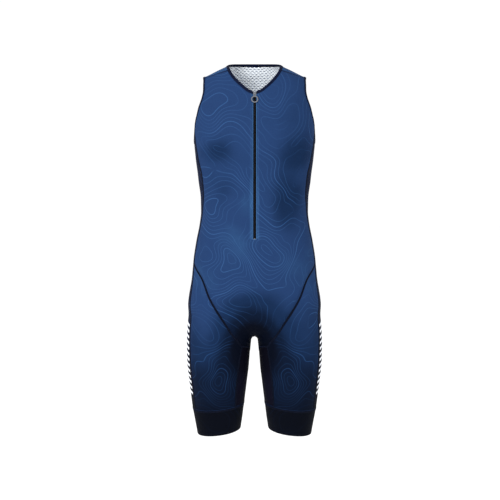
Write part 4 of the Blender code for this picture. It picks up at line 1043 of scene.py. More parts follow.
def turn_outward(thing):
    """Turns a closed mesh's faces round if its volume comes out negative."""
    bm = bmesh.new()
    bm.from_mesh(thing.data)
    if bm.calc_volume(signed=True) < 0:
        bmesh.ops.reverse_faces(bm, faces=bm.faces)
        bm.to_mesh(thing.data)
    bm.free()


def fitted(made, node=None):
    """Puts a piece under the frame's body, and hides the solid it takes the place of."""
    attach(made, "suit")
    if node is not None:
        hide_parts(node)
    return made


def grid_quads(rows, columns, closed=False, skip=None):
    """The quads of a grid, and the same ones with the last column kept apart for the UV map."""
    ids = np.arange(rows * columns).reshape(rows, columns)
    keep = np.ones((rows - 1, columns - 1), bool)
    if skip is not None:
        keep[skip] = False
    apart = np.stack([ids[:-1, :-1], ids[1:, :-1], ids[1:, 1:], ids[:-1, 1:]], axis=2)[keep]
    if closed:
        ids[:, -1] = ids[:, 0]
    return np.stack([ids[:-1, :-1], ids[1:, :-1], ids[1:, 1:], ids[:-1, 1:]], axis=2)[keep], apart


def rim_of(quads, count):
    """The directed edges that only one quad uses."""
    edges = np.concatenate([quads[:, [k, (k + 1) % 4]] for k in range(4)])
    codes = edges[:, 0] * count + edges[:, 1]
    return edges[~np.isin(codes, edges[:, 1] * count + edges[:, 0])]


def two_faced(quads, rim, count):
    """The faces of a thin sheet: its quads, the same turned round a count further on, and its rim."""
    sides = np.stack([rim[:, 1], rim[:, 0], rim[:, 0] + count, rim[:, 1] + count], axis=1)
    return np.concatenate([quads, quads[:, ::-1] + count, sides])


def grid_uv(grid):
    """Where each point lies on the cut cloth, in metres: across from the middle, and down from it."""
    across = np.linalg.norm(np.diff(grid, axis=1), axis=2)
    down = np.linalg.norm(np.diff(grid, axis=0), axis=2)
    u = np.concatenate([np.zeros((grid.shape[0], 1)), np.cumsum(across, axis=1)], axis=1)
    u = u - u[:, -1:] / 2
    v = np.concatenate([np.zeros((1, grid.shape[1])), np.cumsum(down, axis=0)], axis=0)
    v = v - v[len(v) // 2]
    return np.stack([u, v], axis=2).reshape(-1, 2)


print("quads in the front panel's half:", len(grid_quads(*front_grid_half.shape[:2])[0]))


# %% A piece of cloth
def drawn_in(points, ways, quads):
    """Rim points moved in by half the seam gap, square to the rim, and the rim itself."""
    rim = rim_of(quads, len(points))
    along = unit(points[rim[:, 1]] - points[rim[:, 0]])
    total = np.zeros_like(points)
    for end in (0, 1):
        np.add.at(total, rim[:, end], unit(np.cross(ways[rim[:, end]], along)))
    square = (total**2).sum(axis=1)[:, None]
    return points + SEAM_GAP * total / np.maximum(square, 1), rim


def cloth(name, grid, node, materials, closed=False, skip=None):
    """A thin shell whose outer face is the grid, creased, its rim drawn in by half the seam gap."""
    normals = outward(grid)
    points, ways = creased(grid, normals).reshape(-1, 3), normals.reshape(-1, 3)
    quads, apart = grid_quads(*grid.shape[:2], closed, skip)
    first = points[quads]
    turned = np.cross(first[:, 2] - first[:, 0], first[:, 3] - first[:, 1])
    if np.einsum("ij,ij->i", turned, ways[quads[:, 0]]).sum() < 0:
        quads, apart = quads[:, ::-1], apart[:, ::-1]
    points, rim = drawn_in(points, ways, quads)
    used = np.unique(quads)
    place = np.zeros(len(points), int)
    place[used] = np.arange(len(used))
    skin = place[quads]
    faces = two_faced(skin, place[rim], len(used))
    both = np.concatenate([points[used], points[used] - CLOTH_WALL * ways[used]])
    lining = np.concatenate([np.zeros(len(skin)), np.ones(len(skin)), np.zeros(len(rim))])
    cut = grid_uv(grid)
    uv = np.concatenate([cut[apart], cut[apart[:, ::-1]], cut[rim[:, [1, 0, 0, 1]]]])
    flat = grid.reshape(-1, 3)[used]
    values = {"height": map_height(flat), "slope": map_slope(flat, ways[used]), "dye_and_painted_shading": dye_and_painted_shading(flat)}
    values = {key: np.tile(value, 2) for key, value in values.items()}
    made = fitted(quad_mesh(name, both, faces, materials, uv, values, lining), node)
    return made


# %% [markdown]
# ## Materials
#
# Each one starts from what the real stuff is. Colours are written as hex, as a designer picks them, and
# turned to linear light by one function. Patterns follow the cloth through the UV map, which is in metres
# on the cut piece, or the point values that each piece keeps.


# %% Colours and one helper for nodes
def linear(code):
    """An sRGB hex colour as linear red, green, blue and alpha."""
    parts = [int(code[i : i + 2], 16) / 255 for i in (1, 3, 5)]
    return (*(((c + 0.055) / 1.055) ** 2.4 if c > 0.04045 else c / 12.92 for c in parts), 1.0)


def add(tree, kind, inputs=None, **settings):
    """A node with its settings, and its inputs set to values or linked to other nodes' outputs."""
    made = tree.nodes.new("ShaderNode" + kind)
    for key, value in settings.items():
        setattr(made, key, value)
    for key, value in (inputs or {}).items():
        if isinstance(value, bpy.types.NodeSocket):
            tree.links.new(value, made.inputs[key])
        else:
            made.inputs[key].default_value = value
    return made


def fresh(name, **uniform):
    """A new material with its tree and its shader, uniform values set on the shader's own sockets."""
    made = bpy.data.materials.new(name)
    made.use_nodes = True
    shader = made.node_tree.nodes["Principled BSDF"]
    for key, value in uniform.items():
        shader.inputs[key.replace("_", " ")].default_value = value
    return made, made.node_tree, shader


def maths(tree, operation, *values):
    """The output of one arithmetic step."""
    return add(tree, "Math", dict(enumerate(values)), operation=operation).outputs[0]


def eased(tree, value, low, high, start=0.0, end=1.0):
    """A value brought from one range to another with soft ends."""
    sockets = {"Value": value, "From Min": low, "From Max": high, "To Min": start, "To Max": end}
    return add(tree, "MapRange", sockets, interpolation_type="SMOOTHSTEP").outputs["Result"]


def mixed(tree, share, first, second, blend="MIX"):
    """Two colours mixed."""
    sockets = {"Factor": share, 6: first, 7: second}
    return add(tree, "Mix", sockets, data_type="RGBA", blend_type=blend).outputs[2]


print("middle blue in linear light:", np.round(linear("#2c5284"), 3))

# %% [markdown]
# ### The knit's relief
#
# Jersey has fine ribs down the cloth, crossed by courses. Both are drawn as a bump on the cut cloth, so
# they bend with it. Real wales are 0.5 mm apart, too fine to show, so they are drawn three times as coarse.

# %% A bump for knit
KNIT_WALE, KNIT_COURSE, KNIT_STRENGTH, KNIT_DEPTH = 0.0016, 0.0013, 0.35, 0.0003
COURSE_BEND, COURSE_SHARE = 1.6, 0.25


def knit_relief(tree, shader, wale=KNIT_WALE, course=KNIT_COURSE, strength=KNIT_STRENGTH, extra=None):
    """Ribs |sin(pi u / wale)| crossed by courses sin(2 pi v / course) that bend with them."""
    uv = add(tree, "UVMap", uv_map="cloth").outputs[0]
    parts = add(tree, "SeparateXYZ", {0: uv}).outputs
    rib = maths(tree, "ABSOLUTE", maths(tree, "SINE", maths(tree, "MULTIPLY", parts[0], math.pi / wale)))
    bent = maths(tree, "MULTIPLY", rib, COURSE_BEND)
    course_height = maths(tree, "SINE", maths(tree, "MULTIPLY_ADD", parts[1], math.tau / course, bent))
    height = maths(tree, "MULTIPLY_ADD", course_height, COURSE_SHARE, rib)
    if extra is not None:
        height = maths(tree, "ADD", height, extra)
    bump = add(tree, "Bump", {"Height": height, "Strength": strength, "Distance": KNIT_DEPTH})
    tree.links.new(bump.outputs[0], shader.inputs["Normal"])


print("wales every", KNIT_WALE * 1000, "mm")

# %% [markdown]
# ### Printed knit
#
# Polyester and elastane jersey, dyed by transfer printing. It gives the eye an even, slightly silky matte
# blue, with thin lighter lines like a map's contours and a darker dye down the legs. The same ramp also
# carries the painted shade and painted highlights kept with the dye in each point's value. The lines are
# drawn where the height value passes whole numbers, every fifth one bolder. Dividing by the slope keeps
# them one width, and they fade where the map is nearly flat. The side strips, the inner legs and the leg
# bands are the same knit in darker dyes.

# %% Contour lines, dye and painted shading
LINE_HALF_WIDTH = 0.00045
LINE_SOFT = 0.00055
BOLD_SOFT = 1.5 * LINE_SOFT
INDEX_EVERY = 5.0
LEAST_SLOPE = 12.0
LINE_FADE = (14.0, 48.0)
CLOUD_SCALE, CLOUD_SHARE = 11.0, 0.24
LINE_WEAR = (0.30, 0.62, 0.35, 1.0)
GRAIN_SCALE, GRAIN = 900.0, (0.3, 0.7, 0.93, 1.05)
RAMP_STEPS = (0.0, 0.3, 0.6, 0.8, 1.0)
DYES = ((0.0, "#2b4d74"), (0.2, "#1c3257"), (0.5, "#0f223f"), (0.75, "#061226"), (1.0, "#030714"))
LINE_DYES = ((0.0, "#46709f"), (0.2, "#375c8b"), (0.5, "#2c5284"), (0.75, "#203e69"), (1.0, "#060a15"))
SIDE_DYES = tuple(zip(RAMP_STEPS, ("#131b34", "#0f162b", "#090d1b", "#060913", "#04050b")))
INNER_DYES = tuple(zip(RAMP_STEPS, ("#131126", "#110f23", "#0f0d1f", "#0a0a18", "#060610")))
BAND_DYES = tuple(zip(RAMP_STEPS, ("#060b1c", "#050a1a", "#050917", "#040712", "#03050c")))


def ramp_of(tree, value, steps):
    """A colour that runs smoothly through hex colours as the value rises."""
    ramp = add(tree, "ValToRGB", {"Fac": value})
    ramp.color_ramp.interpolation = "EASE"
    for at, _ in steps[1:-1]:
        ramp.color_ramp.elements.new(at)
    for element, (at, code) in zip(ramp.color_ramp.elements, steps):
        element.position, element.color = at, linear(code)
    return ramp.outputs[0]


def contour(tree, height, slope, every, soft):
    """1 on the lines where the height passes multiples of a number, 0 beyond their soft edges."""
    near = maths(tree, "DIVIDE", maths(tree, "PINGPONG", height, every / 2), slope)
    return eased(tree, near, LINE_HALF_WIDTH, LINE_HALF_WIDTH + soft, 1.0, 0.0)


def printed(name, dyes=DYES, line_share=0.25, index_share=0.46, roughness=0.72):
    """Knit coloured by the ramp from the printed fade and its painted shading, with contour lines over it,
    which darken with them.
    """
    made, tree, shader = fresh(name, Roughness=roughness, Specular_IOR_Level=0.03)
    # The first value holds the dye together with the painted shade and painted highlights.
    dark, height, slope = (
        add(tree, "Attribute", attribute_name=kept).outputs["Fac"]
        for kept in ("dye_and_painted_shading", "height", "slope")
    )
    place = add(tree, "TexCoord").outputs["Object"]
    clouds = {"Vector": place, "Scale": CLOUD_SCALE, "Detail": 3.0}
    cloudy = add(tree, "TexNoise", clouds).outputs[0]
    uneven = maths(tree, "MULTIPLY_ADD", cloudy, CLOUD_SHARE, -CLOUD_SHARE / 2)
    dark = maths(tree, "ADD", dark, uneven)
    slope = maths(tree, "MAXIMUM", slope, LEAST_SLOPE)
    fine = maths(tree, "MULTIPLY", contour(tree, height, slope, 1.0, LINE_SOFT), line_share)
    bold = maths(tree, "MULTIPLY", contour(tree, height, slope, INDEX_EVERY, BOLD_SOFT), index_share)
    worn = maths(tree, "MULTIPLY", eased(tree, cloudy, *LINE_WEAR), eased(tree, slope, *LINE_FADE))
    share = maths(tree, "MULTIPLY", maths(tree, "MAXIMUM", fine, bold), worn)
    colour = mixed(tree, share, ramp_of(tree, dark, dyes), ramp_of(tree, dark, LINE_DYES))
    knit_relief(tree, shader)
    grain = {"Vector": place, "Scale": GRAIN_SCALE, "Detail": 2.0}
    flecked = eased(tree, add(tree, "TexNoise", grain).outputs[0], *GRAIN)
    grey = add(tree, "CombineColor", {0: flecked, 1: flecked, 2: flecked}).outputs[0]
    tree.links.new(mixed(tree, 1.0, colour, grey, "MULTIPLY"), shader.inputs["Base Color"])
    return made


PRINTED = printed("printed_jersey")
SIDE_KNIT = printed("dark_side_jersey", SIDE_DYES, 0.14, 0.26, 0.74)
INNER_KNIT = printed("plum_inner_jersey", INNER_DYES, 0.02, 0.04, 0.76)
BAND_KNIT = printed("power_band_jersey", BAND_DYES, 0.16, 0.34, 0.72)
print("a line every step of the map, a bolder one every", INDEX_EVERY)

# %% [markdown]
# ### The inside of the cloth
#
# The back is lined by its own face: a white warp-knit mesh, with rows of small openings drawn in
# blue-grey. It shows in the neck. The net is even and has thousands of openings, so they are drawn with a
# colour and a deep bump, not cut. Elsewhere the inside is the undyed reverse of the jersey, a pale
# blue-white.

# %% Mesh and reverse
DOT_ACROSS, DOT_DOWN = 0.0104, 0.0051
DOT_HALF_WIDTH, DOT_HALF_HEIGHT = 0.0037, 0.00105
DOT_EDGE = (0.60, 1.35, 1.0, 0.0)
MESH_WALE, MESH_COURSE, MESH_STRENGTH, DOT_DEPTH = 0.0018, 0.0015, 0.3, -2.5


def white_mesh(name):
    """White knit with staggered oval openings (u/a)^2 + (v/b)^2 < 1, each second row moved half a pitch."""
    made, tree, shader = fresh(name, Roughness=0.8, Specular_IOR_Level=0.2)
    uv = add(tree, "UVMap", uv_map="cloth").outputs[0]
    parts = add(tree, "SeparateXYZ", {0: uv}).outputs
    down = maths(tree, "DIVIDE", parts[1], DOT_DOWN)
    odd = maths(tree, "FLOORED_MODULO", maths(tree, "FLOOR", down), 2.0)
    moved = maths(tree, "MULTIPLY", odd, 0.5)
    across = maths(tree, "ADD", maths(tree, "DIVIDE", parts[0], DOT_ACROSS), moved)
    squares = []
    for value, ratio in ((across, DOT_ACROSS / DOT_HALF_WIDTH), (down, DOT_DOWN / DOT_HALF_HEIGHT)):
        off = maths(tree, "SUBTRACT", maths(tree, "FRACT", value), 0.5)
        size = maths(tree, "ABSOLUTE", maths(tree, "MULTIPLY", off, ratio))
        squares.append(maths(tree, "POWER", size, 2.0))
    open_share = eased(tree, maths(tree, "ADD", *squares), *DOT_EDGE)
    colour = mixed(tree, open_share, linear("#f1f6f9"), linear("#3a4a68"))
    tree.links.new(colour, shader.inputs["Base Color"])
    sunk = maths(tree, "MULTIPLY", open_share, DOT_DEPTH)
    knit_relief(tree, shader, MESH_WALE, MESH_COURSE, MESH_STRENGTH, sunk)
    return made


def undyed(name):
    """The reverse of the printed jersey: white with a little of the blue showing through, greyer where the
    dye value and its painted shading are darker.
    """
    made, tree, shader = fresh(name, Roughness=0.85, Specular_IOR_Level=0.2)
    dark = add(tree, "Attribute", attribute_name="dye_and_painted_shading").outputs["Fac"]
    # Greyer with the dye value, so its painted shade shows on the reverse too.
    colour = mixed(tree, eased(tree, dark, 0.0, 1.0), linear("#c3cddd"), linear("#8d97ad"))
    tree.links.new(colour, shader.inputs["Base Color"])
    knit_relief(tree, shader)
    return made


MESH_BACK = white_mesh("white_mesh_lining_face")
REVERSE = undyed("undyed_jersey_reverse")
print("mesh openings", 2000 * DOT_HALF_WIDTH, "x", 2000 * DOT_HALF_HEIGHT, "mm")

# %% [markdown]
# ### Bindings, threads, zip and reflective print
#
# The bindings are fold-over elastic, a ribbed dull navy tape. The others each have one pattern: twist in
# the thread, diagonal ribs in the tape's twill, faint clouds in the nylon, tumbling marks in the nickel
# plate, and glass beads in the reflective film. That pattern moves the colour, and where the stuff has
# them the gloss and the relief.

# %% Small materials
RIB_PITCH, RIB_STRENGTH, RIB_DEPTH = 0.0014, 0.3, 0.0002
RIB_CLOUD_SCALE, RIB_CLOUDS = 60.0, (0.3, 0.7, 0.3, 0.9)


def elastic(name, code, crown_highlight):
    """Ribs across the tape, cos(2 pi u / pitch), and a painted highlight in a lighter colour on their crowns.
    """
    made, tree, shader = fresh(name, Roughness=0.7, Specular_IOR_Level=0.04)
    uv = add(tree, "UVMap", uv_map="cloth").outputs[0]
    along = add(tree, "SeparateXYZ", {0: uv}).outputs[0]
    rib = maths(tree, "COSINE", maths(tree, "MULTIPLY", along, math.tau / RIB_PITCH))
    place = add(tree, "TexCoord").outputs["Object"]
    clouds = {"Vector": place, "Scale": RIB_CLOUD_SCALE, "Detail": 3.0}
    cloudy = eased(tree, add(tree, "TexNoise", clouds).outputs[0], *RIB_CLOUDS)
    share = maths(tree, "MULTIPLY", eased(tree, rib, -1.0, 1.0), cloudy)
    # The lighter colour on the rib crowns is a painted highlight.
    tree.links.new(mixed(tree, share, linear(code), linear(crown_highlight)), shader.inputs["Base Color"])
    bump = add(tree, "Bump", {"Height": rib, "Strength": RIB_STRENGTH, "Distance": RIB_DEPTH})
    tree.links.new(bump.outputs[0], shader.inputs["Normal"])
    return made


Pattern = namedtuple("Pattern", "kind output inputs turned")
TWIST = Pattern("TexWave", "Fac", {"Scale": 260.0, "Distortion": 1.0}, (0.6, 0.7, 0.2))
DIAGONAL = Pattern("TexWave", "Fac", {"Scale": 240.0}, (0.0, 0.9, 0.0))
CLOUDS = Pattern("TexNoise", 0, {"Scale": 400.0, "Detail": 2.0}, None)
MARKS = Pattern("TexNoise", 0, {"Scale": 1400.0, "Detail": 4.0}, None)
BEADS = Pattern("TexVoronoi", "Distance", {"Scale": 1600.0}, None)


def patterned(name, pattern, code, other, gloss=None, relief=None, **uniform):
    """Stuff with one pattern in it, which mixes two colours and may move the gloss and the relief."""
    made, tree, shader = fresh(name, **uniform)
    place = add(tree, "TexCoord").outputs["Object"]
    if pattern.turned is not None:
        place = add(tree, "Mapping", {"Vector": place, "Rotation": pattern.turned}).outputs[0]
    value = add(tree, pattern.kind, {"Vector": place, **pattern.inputs}).outputs[pattern.output]
    tree.links.new(mixed(tree, value, linear(code), linear(other)), shader.inputs["Base Color"])
    if gloss is not None:
        tree.links.new(eased(tree, value, *gloss), shader.inputs["Roughness"])
    if relief is not None:
        bump = add(tree, "Bump", {"Height": value, "Strength": relief[0], "Distance": relief[1]})
        tree.links.new(bump.outputs[0], shader.inputs["Normal"])
    return made


# Elastics: dull navy, a bluer one on the shoulders, with soft ribs whose crowns carry a painted highlight
BRAID_KNIT = elastic("flatlock_braid", "#03050e", "#080e1f")
SHOULDER_BRAID = elastic("blue_flatlock_braid", "#0a1630", "#122443")
BINDING = elastic("fold_over_elastic", "#060a1c", "#0e1734")
# Textured polyester thread: fine slanted bands of two tones and a soft shine
THREAD = {"Roughness": 0.6, "Specular_IOR_Level": 0.06}
DARK_THREAD = patterned("dark_polyester_thread", TWIST, "#060a18", "#0d1529", **THREAD)
BLUE_THREAD = patterned("blue_polyester_thread", TWIST, "#3d6693", "#2c527f", **THREAD)
NAVY_THREAD = patterned("navy_polyester_thread", TWIST, "#132747", "#0e1d38", **THREAD)
# Zip tape: the diagonal ribs of a tight black twill
TWILL = patterned(
    "black_twill_tape", DIAGONAL, "#060609", "#111116", relief=(0.4, 0.0002),
    Roughness=0.8, Specular_IOR_Level=0.05,
)
# Nylon coil: black, smooth, with a faint brown depth and uneven gloss
COIL = patterned(
    "black_nylon_coil", CLOUDS, "#060607", "#141113", (0.3, 0.7, 0.28, 0.42),
    IOR=1.53, Specular_IOR_Level=0.12,
)
# Nickel plate on cast zinc: bright, with fine tumbling marks
PLATED = patterned(
    "nickel_plated_zinc", MARKS, "#54585f", "#84878d", (0.3, 0.7, 0.28, 0.44), (0.1, 0.0001), Metallic=1.0
)
# Reflective film: silver-white, full of glass beads, a little sparkly
FILM = patterned(
    "silver_reflective_transfer", BEADS, "#f4f6fa", "#d3d8e2", (0.0, 0.7, 0.3, 0.5), Metallic=0.15
)
print("materials:", len(bpy.data.materials))

# %% [markdown]
# ## The panels
#
# A cutter lays out nine shapes, once or twice each. Every panel shares the points of its seams with its
# neighbours, as the cut pieces of a real suit do, so the lines are worked out once for the wearer's left
# half and mirrored for the right. The front is slit for the zip, so its grid leaves out the cells over
# the slot.

# %% Front and back
slot_columns = front_grid_half.shape[1] - 1
front_skip = (slice(0, ZIP_ROWS), slice(slot_columns - 1, slot_columns + 1))
cloth(
    "front_panel", whole_width(front_grid_half), "front", [PRINTED, REVERSE],
    skip=front_skip,
)
cloth("back_panel", whole_width(back_grid_half), "back", [PRINTED, MESH_BACK])

# %% Sides, thighs and leg bands, left and right
for side, flip in SIDES:
    cloth(
        f"side_strip_{side}", strip * flip, f"side_{side}",
        [SIDE_KNIT, REVERSE],
    )
    for name, grid in thighs.items():
        cloth(
            f"{name}_thigh_{side}", grid * flip, f"thigh_{name}_{side}",
            [PRINTED, REVERSE],
        )
    cloth(
        f"inner_leg_{side}", inner * flip, f"inner_thigh_{side}",
        [INNER_KNIT, REVERSE],
    )
    cloth(
        f"leg_band_{side}", cuff * flip, f"cuff_{side}", [BAND_KNIT, REVERSE],
        closed=True,
    )

# %% [markdown]
# ## Lines on the cloth
#
# Seams, bindings and stitches all follow lines that lie on the cloth. Each line is kept with its normals,
# so that a profile can be carried along it: at each point the profile's first number goes across the
# line and its second goes out of the cloth. Stitches are one short thread copied along such a line, all in
# one mesh, as a machine lays them.

# %% A line with its directions
RING_PAD = 3
MILLIMETRE = 0.001


def directions(line):
    """Creased points, the way along, the way across and the way out at each point of a line."""
    out = outward(line)
    places = creased(line, out)
    along = unit(np.gradient(places, axis=0))
    across = unit(np.cross(out, along))
    return places, along, across, unit(np.cross(along, across))


def closely(points, spacing):
    """The same line with points at even steps of about the spacing."""
    return even(points, max(2, int(round(travelled(points)[-1] / spacing))))


def looped(line):
    """Directions on a closed line, its last point the same as its first."""
    around = np.concatenate([line[-RING_PAD - 1 : -1], line, line[1 : RING_PAD + 1]])
    return [part[RING_PAD:-RING_PAD] for part in directions(around)]


def both_sides(frames):
    """The same places on the wearer's left and on their right."""
    return tuple(np.concatenate([part, mirrored(part)]) for part in frames)


def joined_frames(*several):
    """Several lines' places and directions as one set."""
    return tuple(np.concatenate(parts) for parts in zip(*several))


print("neck edge:", round(travelled(lines["neck_hole"])[-1], 3), "m from the zip to the back middle")


# %% Profiles carried along a line, and threads repeated along it
def skin_of(name, rings, travel, spread, material, closed, cap_place=0.0):
    """A solid over rings of points, each ring joined to the next; its ends are capped, or meet."""
    count, sides = rings.shape[:2]
    ids = np.arange(count * sides).reshape(count, sides)
    if closed:
        ids = np.concatenate([ids, ids[:1]])
    after = np.roll(ids, -1, axis=1)
    quads = np.stack([ids[:-1], after[:-1], after[1:], ids[1:]], axis=2).reshape(-1, 4)
    uv = np.stack(np.meshgrid(travel, spread, indexing="ij"), axis=2)
    corners = np.stack([uv[:-1, :-1], uv[:-1, 1:], uv[1:, 1:], uv[1:, :-1]], axis=2).reshape(-1, 4, 2)
    if not closed:
        k = np.arange(sides // 2 - 1)
        pairs = np.stack([k, k + 1, sides - 2 - k, sides - 1 - k], axis=1)
        caps = np.concatenate([ids[0][pairs[:, ::-1]], ids[-1][pairs]])
        quads = np.concatenate([quads, caps])
        corners = np.concatenate([corners, np.full((len(caps), 4, 2), cap_place)])
    made = quad_mesh(name, rings.reshape(-1, 3), quads, [material], corners)
    turn_outward(made)
    return made


def ribbon(name, line, profile, material, closed=False, scale=MILLIMETRE):
    """A solid strip: the profile's points (across, out), in millimetres, at every point of the line."""
    places, along, across, out = looped(line) if closed else directions(line)
    shape = np.array(profile) * scale
    rings = places[:, None] + shape[None, :, :1] * across[:, None] + shape[None, :, 1:] * out[:, None]
    spread = travelled(np.concatenate([shape, shape[:1]]))
    made = skin_of(name, rings[:-1] if closed else rings, travelled(places), spread, material, closed)
    return fitted(made)


def round_profile(sides, across, out, middle):
    """The corners of an oval, (a cos t, b sin t + c)."""
    t = math.tau * np.arange(sides) / sides
    return np.stack([across * np.cos(t), out * np.sin(t) + middle], axis=1)


STITCH_RINGS = ((-0.5, 0.3, 0.1), (-0.3, 0.9, 0.8), (0.0, 1.0, 1.0), (0.3, 0.9, 0.8), (0.5, 0.3, 0.1))
STITCH_SIDES = ((-0.5, 0.0), (0.0, 1.0), (0.5, 0.0), (0.0, -0.6))
STITCH_POINTS = len(STITCH_RINGS) * len(STITCH_SIDES)


def stitches(name, frames, length, width, height, material, slot, turn=0.0, lift=0.0):
    """Short thick threads, one for each place: five four-sided rings along the thread, closed at its ends.
    Turn is the angle from the line's own direction; 90 degrees lies across it."""
    places, along, across, out = frames
    turns = np.broadcast_to(np.radians(turn), len(places))[:, None]
    way = along * np.cos(turns) + across * np.sin(turns)
    side = across * np.cos(turns) - along * np.sin(turns)
    parts = [
        (t * length, s * wide * width, h * high * height + lift)
        for t, wide, high in STITCH_RINGS for s, h in STITCH_SIDES
    ]
    a, b, c = np.array(parts).T[:, None, :, None]
    points = places[:, None] + a * way[:, None] + b * side[:, None]
    points = points + c * out[:, None]
    ids = np.arange(STITCH_POINTS).reshape(len(STITCH_RINGS), -1)
    after = np.roll(ids, -1, axis=1)
    walls = np.stack([ids[:-1], after[:-1], after[1:], ids[1:]], axis=2).reshape(-1, 4)
    quads = np.concatenate([walls, ids[:1, ::-1], ids[-1:]])
    every = (quads[None] + STITCH_POINTS * np.arange(len(places))[:, None, None]).reshape(-1, 4)
    made = quad_mesh(name, points.reshape(-1, 3), every, [material])
    turn_outward(made)
    return fitted(made)


print(STITCH_POINTS, "points in each thread")

# %% [markdown]
# ### Bindings
#
# A fold-over elastic is wrapped round the raw edge and sewn through both of its layers. It is made as the
# outline of that fold, carried from the seam row to the edge row, so it is open nowhere. On the neck it
# stops on both sides of the zip. One row of stitches runs near its inner edge.

# %% The fold's outline and the bindings
FOLD = (
    (-0.16, -1.02), (0.01, -0.98), (0.00, 0.25), (0.06, 0.62), (0.25, 0.90), (0.60, 0.96), (0.88, 0.66),
    (0.99, 0.10), (0.99, -0.55), (0.86, -1.10), (0.60, -1.38), (-0.15, -1.40),
)
ELASTIC_WIDTH = 0.014
WAVER, WAVER_TURN, WAVER_ABOVE = 0.10, 410, 0.3
EDGE_STITCH_SHARE, EDGE_STITCH_LIFT, STITCH_SPACING = 0.16, 0.0008, 0.0026
TOPSTITCH = {"length": 0.0021, "width": 0.00042, "height": 0.00030, "material": DARK_THREAD}


def binding(name, node, seam, hole, closed):
    """The fold's outline at each point of an edge: share s from seam to edge, height w along the normal."""
    fold = np.array(FOLD)
    if closed:
        seam, hole = seam[:-1], hole[:-1]
    s, w = fold[None, :, :1], fold[None, :, 1:]
    flat = seam[:, None] * (1 - s) + hole[:, None] * s
    ways = outward(flat)
    waver = 1 + WAVER * np.sin(travelled(hole) * WAVER_TURN)[:, None, None] * (w > WAVER_ABOVE)
    rings = creased(on_body(trunk_axis(flat), flat), ways) + w * MILLIMETRE * waver * ways
    travel = travelled(np.concatenate([hole, hole[:1]]))[: len(hole) + closed]
    spread = np.linspace(0, ELASTIC_WIDTH, len(FOLD) + 1)
    made = fitted(skin_of(name, rings, travel, spread, BINDING, closed, MILLIMETRE), node)
    length = float(travelled((seam + hole) / 2)[-1])
    print(f"{name}: {length:.3f} m of elastic")


def round_neck(line):
    """An edge from the zip round the back of the neck to the zip again."""
    return np.concatenate([line, mirrored(line[-2::-1])])


def on_binding(seam, hole):
    """Frames for the row of stitches on a binding's face."""
    line = closely(seam * (1 - EDGE_STITCH_SHARE) + hole * EDGE_STITCH_SHARE, STITCH_SPACING)
    places, along, across, out = directions(line)
    return places + EDGE_STITCH_LIFT * out, along, across, out


neck_seam, neck_hole = round_neck(lines["neck_seam"]), round_neck(lines["neck_hole"])
arm_seam, arm_hole = (np.concatenate([lines[n], lines[n][:1]]) for n in ("arm_seam", "arm_hole"))
binding("neck_edge_binding", "neck_binding", neck_seam, neck_hole, False)
for side, flip in SIDES:
    binding(f"arm_edge_binding_{side}", f"armhole_binding_{side}", arm_seam * flip, arm_hole * flip, True)
stitches("neck_topstitch", on_binding(neck_seam, neck_hole), **TOPSTITCH, slot="binding")
stitches("armhole_topstitch", both_sides(on_binding(arm_seam, arm_hole)), **TOPSTITCH, slot="binding")

# %% [markdown]
# ### Flat seams
#
# On a race suit the panels are butted and joined by a flatlock machine, which lays a flat braid of
# threads over both edges. The braid is a low ribbon along each seam, with slanting threads across it. On
# the shoulders it is finer, and its crossing threads are too small to show.

# %% The braid along every seam
BRAID = (
    (-2.8, -0.3), (-2.7, 0.18), (-1.4, 0.42), (0.0, 0.47), (1.4, 0.42), (2.7, 0.18), (2.8, -0.3), (0.0, -0.45)
)
FINE_BRAID = 0.0006
BRAID_PITCH, RIBBON_STEP = 0.0019, 0.004
CROSSING = {"length": 0.0052, "width": 0.00045, "height": 0.00026, "material": DARK_THREAD}
CROSSING_LIFT = 0.00044
END_GAP = 0.0004
foot_row = front_grid_half[-1]
crotch_end = lines["crotch_front"][-1]
crotch_middle = foot_row[foot_row[:, 0] < crotch_end[0] - END_GAP]
crotch_middle = np.concatenate([crotch_middle[:1] * (0, 1, 1), crotch_middle[1:], crotch_end[None]])
long_seams = {
    "side_front_seam": np.concatenate([lines["side_front"], lines["thigh_front"][1:]]),
    "side_back_seam": np.concatenate([lines["side_back"], lines["thigh_back"][1:]]),
    **{f"{line}_seam": lines[line] for line in ("hip_front", "hip_back", "inner_front", "inner_back")},
    **{f"{line}_seam": lines[line] for line in ("crotch_front", "crotch_back")},
    "crotch_middle_seam": crotch_middle,
    "shoulder_seam": shoulder_seam(lines),
}
cuff_ring = cuff[0]
crossing = []
for name, line in long_seams.items():
    knit, scale = (SHOULDER_BRAID, FINE_BRAID) if name == "shoulder_seam" else (BRAID_KNIT, MILLIMETRE)
    for side, flip in SIDES:
        ribbon(f"{name}_{side}", closely(line, RIBBON_STEP) * flip, BRAID, knit, scale=scale)
    if name != "shoulder_seam":
        crossing.append(directions(closely(line, BRAID_PITCH)))
for side, flip in SIDES:
    ribbon(f"leg_band_seam_{side}", cuff_ring * flip, BRAID, BRAID_KNIT, True)
crossing.append(directions(closely(cuff_ring, BRAID_PITCH)))
threads = both_sides(joined_frames(*crossing))
for name, turn in (("seam_threads_one_way", 62.0), ("seam_threads_other_way", 118.0)):
    stitches(name, threads, **CROSSING, slot="dark_cloth", turn=turn, lift=CROSSING_LIFT)
print(len(threads[0]), "crossings of the seam threads")

# %% [markdown]
# ### Leg bands
#
# A fine lighter cord runs just above each leg band, and two rows of stitches hold the turned hem.

# %% The light line above each leg band, and the stitching of the hem
CORD = round_profile(8, 0.42, 0.32, 0.12)
CORD_RISE = 0.0036
HEM_RISES, HEM_SPACING = (0.0030, 0.0065), 0.0027


def raised_ring(ring, rise):
    """A ring of the leg moved up the leg and laid on it again."""
    moved = ring + (0, 0, rise)
    return on_body(thigh_axis(moved), moved)


